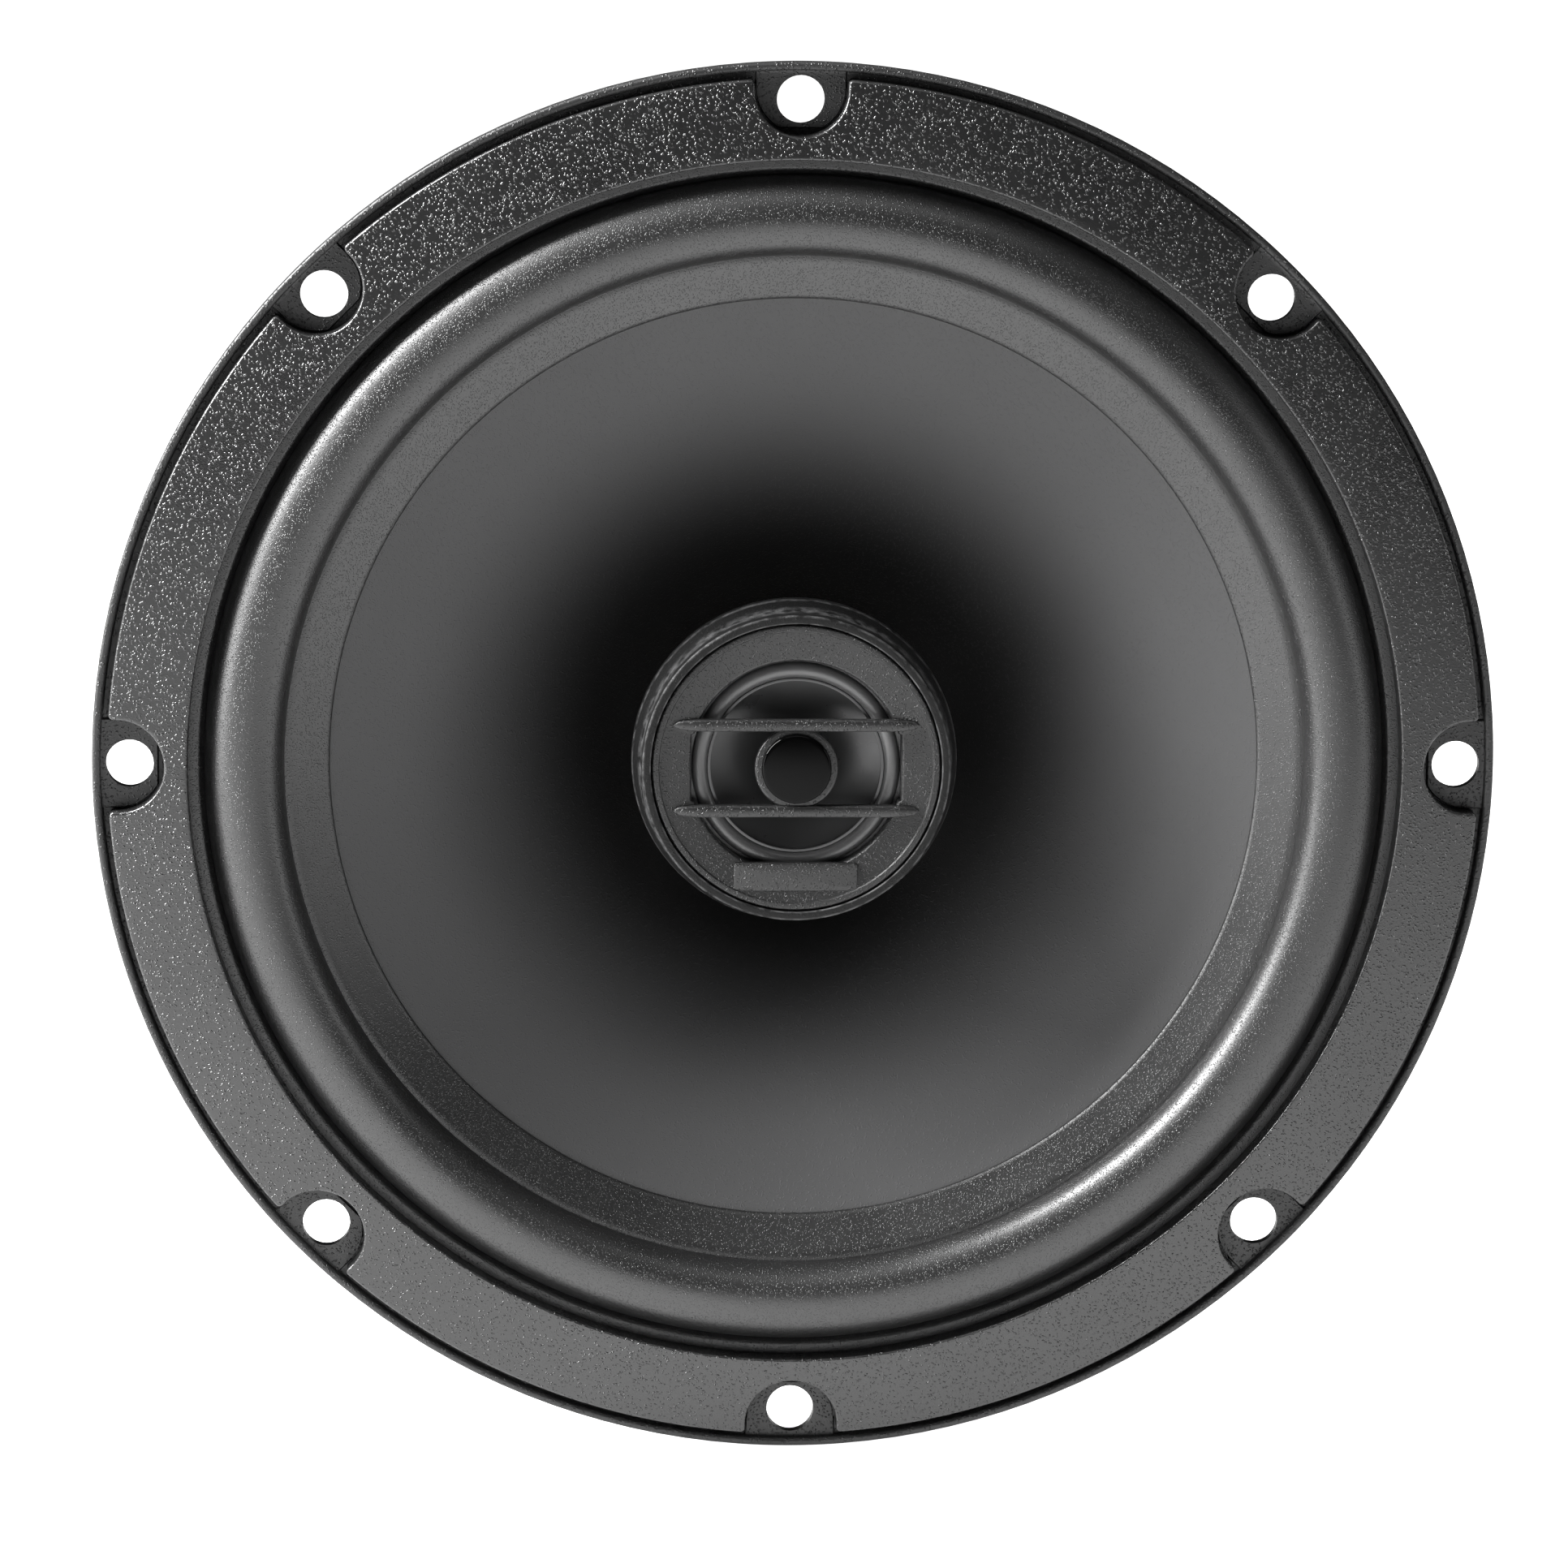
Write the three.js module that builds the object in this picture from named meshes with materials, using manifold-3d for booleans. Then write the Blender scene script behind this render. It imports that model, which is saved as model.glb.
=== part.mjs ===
// Coaxial car speaker of the 165 mm class: a pressed steel basket with a trim ring, a rubber-edged
// cone driven by a ferrite motor, and a small inverted-dome tweeter on a post in front of the cone.
//
// Frame, in millimetres: the speaker stands upright as in a door. +Z is up, +X is to the right seen
// from the front, and the front faces -Y. The origin is the centre of the flange's rear face.
// "Forward" (f) is the distance in front of that face, so a point's y is minus its forward value.

import * as THREE from "three";
import { mergeVertices } from "three/addons/utils/BufferGeometryUtils.js";
import Module from "manifold-3d";

const wasm = await Module();
wasm.setup();

// ---- Driving dimensions ----

// Basket, pressed from steel sheet
const FLANGE_R = 82.5; // outline of the flange
const FLANGE_WIDTH = 11.8; // from the outline to the basket's mouth
const SHEET = 1.0; // thickness of the steel
const LIP_HEIGHT = 2.6; // top of the turned-up rim
const WALL_DEPTH = 8; // straight wall behind the flange
const LEDGE_R = 46; // where the sloping frame meets the spider ledge
const LEDGE_WIDTH = 5;
const SEAT_INSET = 2; // slope of the step from ledge to motor seat
const SEAT_HOLE_R = 20;
const WINDOWS = 6;
const WINDOW_HALF_ANGLE = 21; // degrees
const WINDOW_FRAME_WALL = 4; // sheet left in front of and behind a window
const WINDOW_POWER = 5; // 2 would be an ellipse, a high value a rectangle

// Screw holes in the flange, and the trim ring's notches round them
const HOLES = 8;
const HOLE_R = 2.8;
const HOLE_INSET = 4.4; // hole centre from the outline
const NOTCH_R = 5.45;
const NOTCH_INSET = 3.1; // centre of the notch's arc from the outline
const PAD_HEIGHT = 0.5; // raised screw pad on the flange
const PAD_CHORD = 3.2; // straight inner edge of the pad from the hole centre

// Trim ring
const TRIM_GAP = 0.4; // between the lip and the trim ring
const TRIM_WIDTH = 9.4;
const TRIM_OUTER_F = 3.8; // face height at the outer edge
const TRIM_INNER_F = 5.1; // face height at the inner edge
const TRIM_EDGE = 0.5; // rounding of its edges

// Surround (rubber) and cone
const RUBBER = 0.7;
const SURROUND_LAND = 2.9; // flat flange glued to the basket
const ROLL_OUTER_INSET = 1.3; // from the basket's mouth to the roll's root
const ROLL_WIDTH = 9.4;
const ROLL_HEIGHT = 4.5;
const ROLL_BASE_F = 1.0;
const BAND_WIDTH = 4.75; // sloping band glued to the cone
const CONE_EDGE_F = 1.2;
const CONE_DEPTH = 28;
const CONE_STRAIGHT = 0.78; // share of the depth that is a straight cone, the rest is flare
const CONE_FLARE = 4; // power of the flare
const CONE_THICKNESS = 0.8; // measured along the axis

// Spider
const SPIDER_DROP = 3.2; // ledge behind the cone's neck
const SPIDER_THICKNESS = 0.6;
const SPIDER_WAVES = 3;
const SPIDER_WAVE_HEIGHT = 1.1;
const SPIDER_COLLAR = 2.6; // flat ring at the former
const SPIDER_ROOM = 7; // from the ledge down to the motor seat

// Voice coil and motor
const COIL_R = 13; // outside of the former
const FORMER_WALL = 0.4;
const FORMER_ABOVE_NECK = 1.2;
const COIL_BUILD = 0.8; // thickness of the winding
const COIL_HEIGHT = 10.4;
const COIL_TAIL = 0.6; // former behind the winding
const GAP_CLEARANCE = 0.6; // on both sides of the coil
const TOP_PLATE_R = 35.5;
const TOP_PLATE_THICKNESS = 4;
const MAGNET_R = 35;
const MAGNET_THICKNESS = 14;
const MAGNET_POLE_SPACE = 4.5; // round the pole
const BACK_PLATE_R = 34;
const BACK_PLATE_THICKNESS = 5;
const PLATE_CHAMFER = 0.8;
const MOTOR_RIVETS = 4;
const MOTOR_RIVET_R = 1.8;
const MOTOR_RIVET_PITCH_R = 30;
const RIVET_HEAD = 0.9;

// Post that carries the tweeter, and its nut in the back plate
const POST_R = 5.5;
const POST_SHANK_R = 4.7;
const POST_THREAD_R = 3.9;
const POST_BORE_R = 2.2;
const POST_COLLAR_R = 7.5;
const POST_COLLAR_HEIGHT = 3;
const POST_CLEARANCE = 0.3;
const NUT_HALF_FLATS = 6;
const NUT_HEIGHT = 3;
const WASHER_THICKNESS = 0.6;
const RECESS_R = 8;
const RECESS_DEPTH = 6.5;
const WIRE_GROOVE_WIDTH = 4.4;
const WIRE_GROOVE_DEPTH = 1.8;

// Tweeter
const TWEETER_R = 18.15; // rim of its housing
const TWEETER_FRONT_F = 5.0;
const TWEETER_RIM = 1.05;
const TWEETER_GAP = 0.15; // between housing and face plate
const SKIRT_FLARE = 1.15;
const SKIRT_F = -1.0;
const HOUSING_FLOOR_F = -5.6;
const HOUSING_FLOOR = 3.2;
const HOUSING_SOCKET = 3.4; // hub behind the floor, round the post
const FACE_DEPTH = 2.8; // face plate, front to back
const FACE_WIDTH = 4.35; // ring between the face plate's edge and its opening
const FACE_CHAMFER = 0.9;
const BAR_OFFSET = 5.1; // the two bars lie this far above and below the centre
const BAR_OVERLAP = 1.8; // how far a bar reaches past the opening
const BAR_WIDTH = 1.3;
const BAR_DEPTH = 1.2;
const SEAT_DISC_R = 4.9;
const BADGE_R = 4.1;
const BADGE_HEIGHT = 0.9;
const PLATE_HALF_WIDTH = 7.3;
const PLATE_INSET = 1.3; // how far the blank plate reaches into the opening
const PLATE_HEIGHT = 3.4;
const PLATE_RELIEF = 0.5;
const DOME_DEPTH = 2.3;
const DOME_THICKNESS = 0.25;
const TWEETER_ROLL_WIDTH = 1.9;
const TWEETER_ROLL_HEIGHT = 0.9;
const TWEETER_LAND = 1.6; // flat rim of the tweeter's surround
const TWEETER_COIL_WALL = 0.4;
const TWEETER_COIL_STEP = 0.3; // its front edge above the dome's rim
const TWEETER_COIL_HEIGHT = 4.6;
const TWEETER_COIL_GAP = 0.5;
const TWEETER_PLATE_THICKNESS = 1.2;
const TWEETER_MAGNET_INSET = 0.8; // magnet smaller than the pole plate
const TWEETER_MAGNET_THICKNESS = 2.2;

// Terminal board, crossover capacitor and wiring
const BOARD_SIDE = 3.5; // board beyond the middle of a terminal
const BOARD_LENGTH = 15;
const BOARD_THICKNESS = 1.6;
const BOARD_INSET = 1.5; // its top edge inside the windows' rear edge
const LUG_HALF_WIDTH = 9;
const TERMINAL_OUT = 4.2; // middle of a terminal beyond the edge of the leg it sits behind
const POSITIVE_WIDTH = 6.3;
const NEGATIVE_WIDTH = 4.8;
const TERMINAL_THICKNESS = 0.8;
const TERMINAL_BASE = 8;
const TERMINAL_LENGTH = 8.2;
const TERMINAL_RIVET_R = 1.2;
const BOARD_RIVET_R = 1.5;
const BOARD_RIVET_X = 5.2;
const CAPACITOR_R = 3.3;
const CAPACITOR_LENGTH = 13;
const CAPACITOR_LEAD_R = 0.4;
const WIRE_R = 0.65;
const WIRE_SPACING = 1.0; // of the pair from the centre plane
const TINSEL_R = 0.7;

const CLEAR = 0.3; // between pieces that don't touch face to face

// Facets round a full turn
const FINE = 40;
const MEDIUM = 24;
const SMALL = 12;

// ---- Places worked out from them ----

const mouthR = FLANGE_R - FLANGE_WIDTH;
const wallEndF = -WALL_DEPTH;
const neckF = CONE_EDGE_F - CONE_DEPTH;
const ledgeF = neckF - SPIDER_DROP;
const seatF = ledgeF - SPIDER_ROOM;
const plateF = seatF - SHEET; // front of the top plate
const magnetF = plateF - TOP_PLATE_THICKNESS;
const backF = magnetF - MAGNET_THICKNESS; // front of the back plate
const rearF = backF - BACK_PLATE_THICKNESS; // rearmost face
const poleTopF = plateF + 0.5;
const ledgeInnerR = LEDGE_R - LEDGE_WIDTH;
const seatOuterR = ledgeInnerR - SEAT_INSET;
const holePitchR = FLANGE_R - HOLE_INSET;
const notchPitchR = FLANGE_R - NOTCH_INSET;
const rollOuterR = mouthR - ROLL_OUTER_INSET;
const rollInnerR = rollOuterR - ROLL_WIDTH;
const bandInnerR = rollInnerR - 0.4 - BAND_WIDTH;
const landTopF = SHEET + RUBBER;
const trimOuterR = FLANGE_R - SHEET - TRIM_GAP;
const trimInnerR = trimOuterR - TRIM_WIDTH;
const coneEdgeR = rollInnerR - 0.7;
const coilInnerR = COIL_R - FORMER_WALL;
const poleR = coilInnerR - GAP_CLEARANCE;
const plateHoleR = COIL_R + COIL_BUILD + GAP_CLEARANCE;
const coilMiddleF = plateF - TOP_PLATE_THICKNESS / 2;
const recessF = rearF + RECESS_DEPTH;
const housingRearF = HOUSING_FLOOR_F - HOUSING_FLOOR;
const socketRearF = housingRearF - HOUSING_SOCKET;
const faceR = TWEETER_R - TWEETER_RIM - TWEETER_GAP;
const cavityR = TWEETER_R - TWEETER_RIM;
const faceRearF = TWEETER_FRONT_F - FACE_DEPTH;
const openingR = faceR - FACE_WIDTH;
const smallRollR = openingR - CLEAR;
const domeR = smallRollR - TWEETER_ROLL_WIDTH - TWEETER_COIL_WALL;
const windowRearR = LEDGE_R + (WINDOW_FRAME_WALL / (wallEndF - ledgeF)) * (mouthR - LEDGE_R);
const boardTop = windowRearR - BOARD_INSET; // distance below the axis
const legHalfAngle = THREE.MathUtils.degToRad(180 / WINDOWS - WINDOW_HALF_ANGLE);
const terminalX = windowRearR * Math.tan(legHalfAngle) + TERMINAL_OUT;
const boardHalfWidth = terminalX + BOARD_SIDE;
const boardBottom = boardTop + BOARD_LENGTH;
const lugRearF = ledgeF - SHEET;
const boardRearF = lugRearF - BOARD_THICKNESS;
const terminalZ = -(boardTop + 4.5);
const tabZ = terminalZ - TERMINAL_BASE / 2;

// ---- Helpers ----

// Closed ring or disc: profile points are [radius, forward], turned about the speaker's axis.
function turned(profile, facets) {
  const points = profile.map(([radius, forward]) => new THREE.Vector2(radius, -forward));
  if (THREE.ShapeUtils.area(points) < 0) points.reverse();
  if (points[0].x > 0) points.push(points[0].clone());
  return new THREE.LatheGeometry(points, facets);
}

// Profile of a sheet: a path and its copy set off to the path's left by the thickness.
function sheet(path, thickness) {
  const points = path.map(([radius, forward]) => new THREE.Vector2(radius, forward));
  const normals = points.slice(1).map((point, i) => {
    const along = point.clone().sub(points[i]).normalize();
    return new THREE.Vector2(-along.y, along.x);
  });
  const offset = points.map((point, i) => {
    const before = normals[Math.max(i - 1, 0)];
    const after = normals[Math.min(i, normals.length - 1)];
    const mitre = before.clone().add(after).normalize();
    const reach = thickness / mitre.dot(after);
    return [point.x + mitre.x * reach, point.y + mitre.y * reach];
  });
  return [...path, ...offset.reverse()];
}

// Flat piece: an outline in x and z, from one forward value to another.
function slab(shape, rear, front) {
  const geometry = new THREE.ExtrudeGeometry(shape, {
    depth: front - rear,
    bevelEnabled: false,
    curveSegments: 10,
  });
  return geometry.rotateX(Math.PI / 2).translate(0, -rear, 0);
}

function block(x0, x1, z0, z1, rear, front) {
  const box = new THREE.BoxGeometry(x1 - x0, front - rear, z1 - z0);
  return box.translate((x0 + x1) / 2, -(front + rear) / 2, (z0 + z1) / 2);
}

// Pin along the axis direction, its centre at x, z.
function pin(radius, rear, front, x, z, facets = SMALL) {
  const profile = [[0, rear], [radius, rear], [radius, front], [0, front]];
  return turned(profile, facets).translate(x, 0, z);
}

// Round wire along a smooth curve through the points, each [x, forward, z].
function wire(points, radius, steps) {
  const curve = new THREE.CatmullRomCurve3(
    points.map(([x, forward, z]) => new THREE.Vector3(x, -forward, z)),
    false,
    "centripetal",
  );
  const section = new THREE.Shape();
  for (let i = 0; i < 8; i++) {
    const angle = (i * Math.PI) / 4;
    section[i ? "lineTo" : "moveTo"](radius * Math.cos(angle), radius * Math.sin(angle));
  }
  return new THREE.ExtrudeGeometry(section, { steps, extrudePath: curve, bevelEnabled: false });
}

// Closed geometry to a solid for cutting and joining, and back.
function solid(geometry) {
  const bare = new THREE.BufferGeometry();
  bare.setAttribute("position", geometry.getAttribute("position"));
  bare.setIndex(geometry.index);
  const merged = mergeVertices(bare, 1e-4);
  const vertProperties = merged.getAttribute("position").array;
  const triVerts = new Uint32Array(merged.index.array);
  return new wasm.Manifold(new wasm.Mesh({ numProp: 3, vertProperties, triVerts }));
}

function geometryOf(shape) {
  const mesh = shape.getMesh();
  const geometry = new THREE.BufferGeometry();
  geometry.setAttribute("position", new THREE.BufferAttribute(mesh.vertProperties, 3));
  geometry.setIndex(new THREE.BufferAttribute(mesh.triVerts, 1));
  geometry.computeVertexNormals();
  return geometry;
}

const cut = (geometry, tools) =>
  geometryOf(tools.reduce((shape, tool) => shape.subtract(solid(tool)), solid(geometry)));
const join = (geometries) =>
  geometryOf(geometries.map(solid).reduce((all, next) => all.add(next)));

const finish = (color, roughness, metalness) =>
  new THREE.MeshStandardMaterial({ color, roughness, metalness });
const FINISH = {
  blackSteel: finish(0x1c1c1e, 0.45, 0.6),
  trim: finish(0x2a2a2c, 0.7, 0),
  rubber: finish(0x303033, 0.6, 0),
  cone: finish(0x3a3a3d, 0.5, 0.1),
  cloth: finish(0x8a6a35, 0.9, 0),
  former: finish(0x9a8a5a, 0.5, 0.2),
  copper: finish(0xb5652a, 0.35, 0.9),
  zinc: finish(0x9fa3a8, 0.35, 0.9),
  ferrite: finish(0x2b2c2f, 0.8, 0.1),
  neodymium: finish(0xc5c8cc, 0.25, 0.9),
  plastic: finish(0x3d3d40, 0.55, 0),
  gloss: finish(0x0a0a0b, 0.1, 0),
  dome: finish(0x55565a, 0.35, 0.7),
  silk: finish(0x4a4a4e, 0.6, 0),
  board: finish(0x5b3a20, 0.6, 0),
  tin: finish(0xd0d0cf, 0.3, 0.9),
  sleeve: finish(0x20304a, 0.4, 0),
  redWire: finish(0xa02020, 0.5, 0),
  blackWire: finish(0x111112, 0.5, 0),
  braid: finish(0xb98a4a, 0.5, 0.6),
};

const speaker = new THREE.Group();
const frame = new THREE.Group(); // everything that stays still
const moving = new THREE.Group(); // cone, former and coil
const tweeterMoving = new THREE.Group(); // tweeter dome and its coil
speaker.add(frame, moving, tweeterMoving);

function add(group, name, geometry, material) {
  const mesh = new THREE.Mesh(geometry, material);
  mesh.name = name;
  group.add(mesh);
}

const turn = (count, step, offset = 0) => ((step + offset) / count) * 2 * Math.PI;

// ---- Basket ----

// Inside radius of the sloping frame at a forward value.
const slopeR = (f) =>
  LEDGE_R + ((f - ledgeF) / (wallEndF - ledgeF)) * (mouthR - LEDGE_R);

// Window outline: a superellipse in angle and depth, unrolled at each depth's own radius.
function windowCutter(angle) {
  const middle = (wallEndF + ledgeF) / 2;
  const halfHeight = (wallEndF - ledgeF) / 2 - WINDOW_FRAME_WALL;
  const halfAngle = THREE.MathUtils.degToRad(WINDOW_HALF_ANGLE);
  const rounded = (value) => Math.sign(value) * Math.abs(value) ** (2 / WINDOW_POWER);
  const outline = new THREE.Shape();
  for (let i = 0; i < 24; i++) {
    const step = turn(24, i);
    const f = middle + halfHeight * rounded(Math.sin(step));
    const across = slopeR(f) * Math.tan(halfAngle * rounded(Math.cos(step)));
    outline[i ? "lineTo" : "moveTo"](across, f);
  }
  const depth = mouthR;
  const geometry = new THREE.ExtrudeGeometry(outline, { depth, bevelEnabled: false });
  const outward = new THREE.Vector3(Math.cos(angle), 0, Math.sin(angle));
  const forward = new THREE.Vector3(0, -1, 0);
  const across = new THREE.Vector3().crossVectors(forward, outward);
  const place = new THREE.Matrix4().makeBasis(across, forward, outward);
  place.setPosition(outward.multiplyScalar(ledgeInnerR));
  return geometry.applyMatrix4(place);
}

// Outline of a notch or pad: an arc on the inner side, straight sides running outwards past the
// outline, and a straight chord where the inner side is cut off. Turned to its screw hole.
function notchShape(halfWidth, chordR, outerR, angle) {
  const outline = new THREE.Shape();
  const start = Math.acos(Math.min((notchPitchR - chordR) / halfWidth, 1));
  const arcSteps = 8;
  const points = [[outerR, -halfWidth]];
  for (let i = 0; i <= arcSteps; i++) {
    const a = Math.PI / 2 - (i / arcSteps) * (Math.PI / 2 - start);
    points.push([notchPitchR - halfWidth * Math.cos(a), -halfWidth * Math.sin(a)]);
  }
  const mirrored = points.map(([along, across]) => [along, -across]).reverse();
  const all = start > 0.01 ? [...points, ...mirrored] : [...points, ...mirrored.slice(1)];
  all.forEach(([along, across], i) => {
    const x = along * Math.cos(angle) + across * Math.sin(angle);
    const z = along * Math.sin(angle) - across * Math.cos(angle);
    outline[i ? "lineTo" : "moveTo"](x, z);
  });
  return outline;
}

const boardRivetZ = -(boardTop + 6);

function basket() {
  const path = [
    [FLANGE_R - SHEET, LIP_HEIGHT],
    [FLANGE_R - SHEET, SHEET],
    [mouthR, SHEET],
    [mouthR, wallEndF],
    [LEDGE_R, ledgeF],
    [ledgeInnerR, ledgeF],
    [seatOuterR, seatF],
    [SEAT_HOLE_R, seatF],
  ];
  const lug = block(-LUG_HALF_WIDTH, LUG_HALF_WIDTH, -boardBottom, 1 - LEDGE_R, lugRearF, ledgeF);
  const pads = [];
  const tools = [];
  for (let i = 0; i < HOLES; i++) {
    const angle = turn(HOLES, i);
    const x = holePitchR * Math.cos(angle);
    const z = holePitchR * Math.sin(angle);
    const padR = FLANGE_R - SHEET / 2;
    const pad = notchShape(NOTCH_R - CLEAR, holePitchR - PAD_CHORD, padR - 1, angle);
    pads.push(slab(pad, SHEET / 2, SHEET + PAD_HEIGHT));
    tools.push(pin(HOLE_R, -1, LIP_HEIGHT, x, z));
  }
  for (let i = 0; i < WINDOWS; i++) tools.push(windowCutter(turn(WINDOWS, i)));
  for (let i = 0; i < MOTOR_RIVETS; i++) tools.push(motorRivetPin(i, MOTOR_RIVET_R + 0.1));
  for (const side of [-1, 1]) {
    tools.push(pin(BOARD_RIVET_R + 0.1, lugRearF - 1, ledgeF + 1, side * BOARD_RIVET_X, boardRivetZ));
  }
  return cut(join([turned(sheet(path, SHEET), FINE), lug, ...pads]), tools);
}

// ---- Trim ring ----

function trimRing() {
  const stepR = mouthR + SURROUND_LAND + CLEAR;
  const profile = [
    [trimOuterR, SHEET],
    [trimOuterR, TRIM_OUTER_F - TRIM_EDGE],
    [trimOuterR - TRIM_EDGE, TRIM_OUTER_F],
    [(trimOuterR + trimInnerR) / 2, (TRIM_OUTER_F + TRIM_INNER_F) / 2 + 0.15],
    [trimInnerR + TRIM_EDGE, TRIM_INNER_F],
    [trimInnerR, TRIM_INNER_F - TRIM_EDGE],
    [trimInnerR, landTopF],
    [stepR, landTopF],
    [stepR, SHEET],
  ];
  const tools = [];
  for (let i = 0; i < HOLES; i++) {
    const outline = notchShape(NOTCH_R, notchPitchR - NOTCH_R, FLANGE_R + 1, turn(HOLES, i));
    tools.push(slab(outline, 0, TRIM_INNER_F + 1));
  }
  return cut(turned(profile, FINE), tools);
}

// ---- Surround and cone ----

function surround() {
  const path = [[mouthR + SURROUND_LAND, landTopF], [mouthR - RUBBER, landTopF]];
  const steps = 6;
  const bandTopF = CONE_EDGE_F + RUBBER;
  for (let i = 0; i <= steps; i++) {
    const angle = (i / steps) * Math.PI;
    const across = (1 - Math.cos(angle)) / 2;
    const base = ROLL_BASE_F + (bandTopF - ROLL_BASE_F) * across;
    path.push([rollOuterR - ROLL_WIDTH * across, base + ROLL_HEIGHT * Math.sin(angle)]);
  }
  const band = [
    [rollInnerR - 0.4, coneFrontF(rollInnerR - 0.7) + RUBBER],
    [bandInnerR, coneFrontF(bandInnerR) + RUBBER],
  ];
  const top = [...path, ...band];
  const under = sheet(path, RUBBER).slice(path.length, -1).reverse();
  const glued = [
    [coneEdgeR, coneFrontF(coneEdgeR)],
    [bandInnerR, coneFrontF(bandInnerR)],
  ];
  return turned([...top, ...glued.reverse(), ...under.reverse(), [path[0][0], SHEET]], FINE);
}

// Front surface of the cone: a straight cone with a flare that steepens towards the neck.
function coneFrontF(radius) {
  const left = 1 - (radius - COIL_R) / (coneEdgeR - COIL_R);
  const share = CONE_STRAIGHT * left + (1 - CONE_STRAIGHT) * left ** CONE_FLARE;
  return CONE_EDGE_F - CONE_DEPTH * share;
}

function cone() {
  const front = [[coneEdgeR, coneFrontF(coneEdgeR)], [bandInnerR, coneFrontF(bandInnerR)]];
  const steps = 5;
  for (let i = 1; i <= steps; i++) {
    const radius = bandInnerR + (COIL_R - bandInnerR) * (i / steps) ** 0.8;
    front.push([radius, coneFrontF(radius)]);
  }
  const rear = front.map(([radius, f]) => [radius, f - CONE_THICKNESS]).reverse();
  return turned([...front, ...rear], FINE);
}

// ---- Spider: pleated cloth between the ledge and the former ----

function spider() {
  const outerR = LEDGE_R - 1;
  const pleatOuterR = ledgeInnerR - 0.6;
  const pleatInnerR = COIL_R + SPIDER_COLLAR;
  const middleF = ledgeF + SPIDER_THICKNESS;
  const front = [[outerR, middleF], [pleatOuterR, middleF]];
  const steps = SPIDER_WAVES * 2;
  for (let i = 0; i < steps; i++) {
    const radius = pleatOuterR + ((pleatInnerR - pleatOuterR) * (i + 0.5)) / steps;
    front.push([radius, middleF + SPIDER_WAVE_HEIGHT * (i % 2 ? -1 : 1)]);
  }
  front.push([pleatInnerR, middleF], [COIL_R, middleF]);
  const rear = front.map(([radius, f]) => [radius, f - SPIDER_THICKNESS]).reverse();
  return turned([...front, ...rear], FINE);
}

// ---- Motor ----

function tube(outerR, innerR, rear, front, facets) {
  return turned([[outerR, rear], [outerR, front], [innerR, front], [innerR, rear]], facets);
}

const coilRearF = coilMiddleF - COIL_HEIGHT / 2;
const former = () =>
  tube(COIL_R, coilInnerR, coilRearF - COIL_TAIL, neckF + FORMER_ABOVE_NECK, FINE);
const winding = () =>
  tube(COIL_R + COIL_BUILD, COIL_R, coilRearF, coilRearF + COIL_HEIGHT, FINE);

// Plate or magnet ring with chamfered outer edges.
function chamferedRing(outerR, innerR, rear, front) {
  const profile = [
    [outerR - PLATE_CHAMFER, rear],
    [outerR, rear + PLATE_CHAMFER],
    [outerR, front - PLATE_CHAMFER],
    [outerR - PLATE_CHAMFER, front],
    [innerR, front],
    [innerR, rear],
  ];
  return turned(profile, FINE);
}

function motorRivetPin(index, radius, rear = magnetF, front = seatF) {
  const angle = turn(MOTOR_RIVETS, index, 0.5);
  const x = MOTOR_RIVET_PITCH_R * Math.cos(angle);
  const z = MOTOR_RIVET_PITCH_R * Math.sin(angle);
  return pin(radius, rear, front, x, z);
}

function topPlate() {
  const plate = chamferedRing(TOP_PLATE_R, plateHoleR, magnetF, plateF);
  const tools = [];
  for (let i = 0; i < MOTOR_RIVETS; i++) {
    tools.push(motorRivetPin(i, MOTOR_RIVET_R + 0.1, magnetF - 1, plateF + 1));
  }
  return cut(plate, tools);
}

// Back plate and pole in one piece, with a bore for the post, a recess for its nut and a groove
// that leads the tweeter's wires to the bore.
function yoke() {
  const boreR = POST_SHANK_R + POST_CLEARANCE;
  const profile = [
    [boreR, poleTopF],
    [poleR - PLATE_CHAMFER, poleTopF],
    [poleR, poleTopF - PLATE_CHAMFER],
    [poleR, backF],
    [BACK_PLATE_R - PLATE_CHAMFER, backF],
    [BACK_PLATE_R, backF - PLATE_CHAMFER],
    [BACK_PLATE_R, rearF + PLATE_CHAMFER],
    [BACK_PLATE_R - PLATE_CHAMFER, rearF],
    [RECESS_R, rearF],
    [RECESS_R, recessF],
    [boreR, recessF],
  ];
  const half = WIRE_GROOVE_WIDTH / 2;
  const groove = block(-half, half, -BACK_PLATE_R - 1, 0, rearF - 1, rearF + WIRE_GROOVE_DEPTH);
  return cut(turned(profile, FINE), [groove]);
}

// ---- Post, washer and nut ----

const nutRearF = recessF - WASHER_THICKNESS - NUT_HEIGHT;

function post() {
  const collarF = poleTopF + POST_COLLAR_HEIGHT;
  const profile = [
    [POST_BORE_R, HOUSING_FLOOR_F - HOUSING_FLOOR / 2],
    [POST_R, HOUSING_FLOOR_F - HOUSING_FLOOR / 2],
    [POST_R, collarF],
    [POST_COLLAR_R, collarF],
    [POST_COLLAR_R, poleTopF],
    [POST_SHANK_R, poleTopF],
    [POST_SHANK_R, recessF + 0.5],
    [POST_THREAD_R, recessF + 0.5],
    [POST_THREAD_R, nutRearF],
    [POST_BORE_R, nutRearF],
  ];
  return turned(profile, MEDIUM);
}

function washer() {
  const rear = recessF - WASHER_THICKNESS;
  return tube(NUT_HALF_FLATS + 1, POST_THREAD_R + 0.1, rear, recessF, MEDIUM);
}

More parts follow.
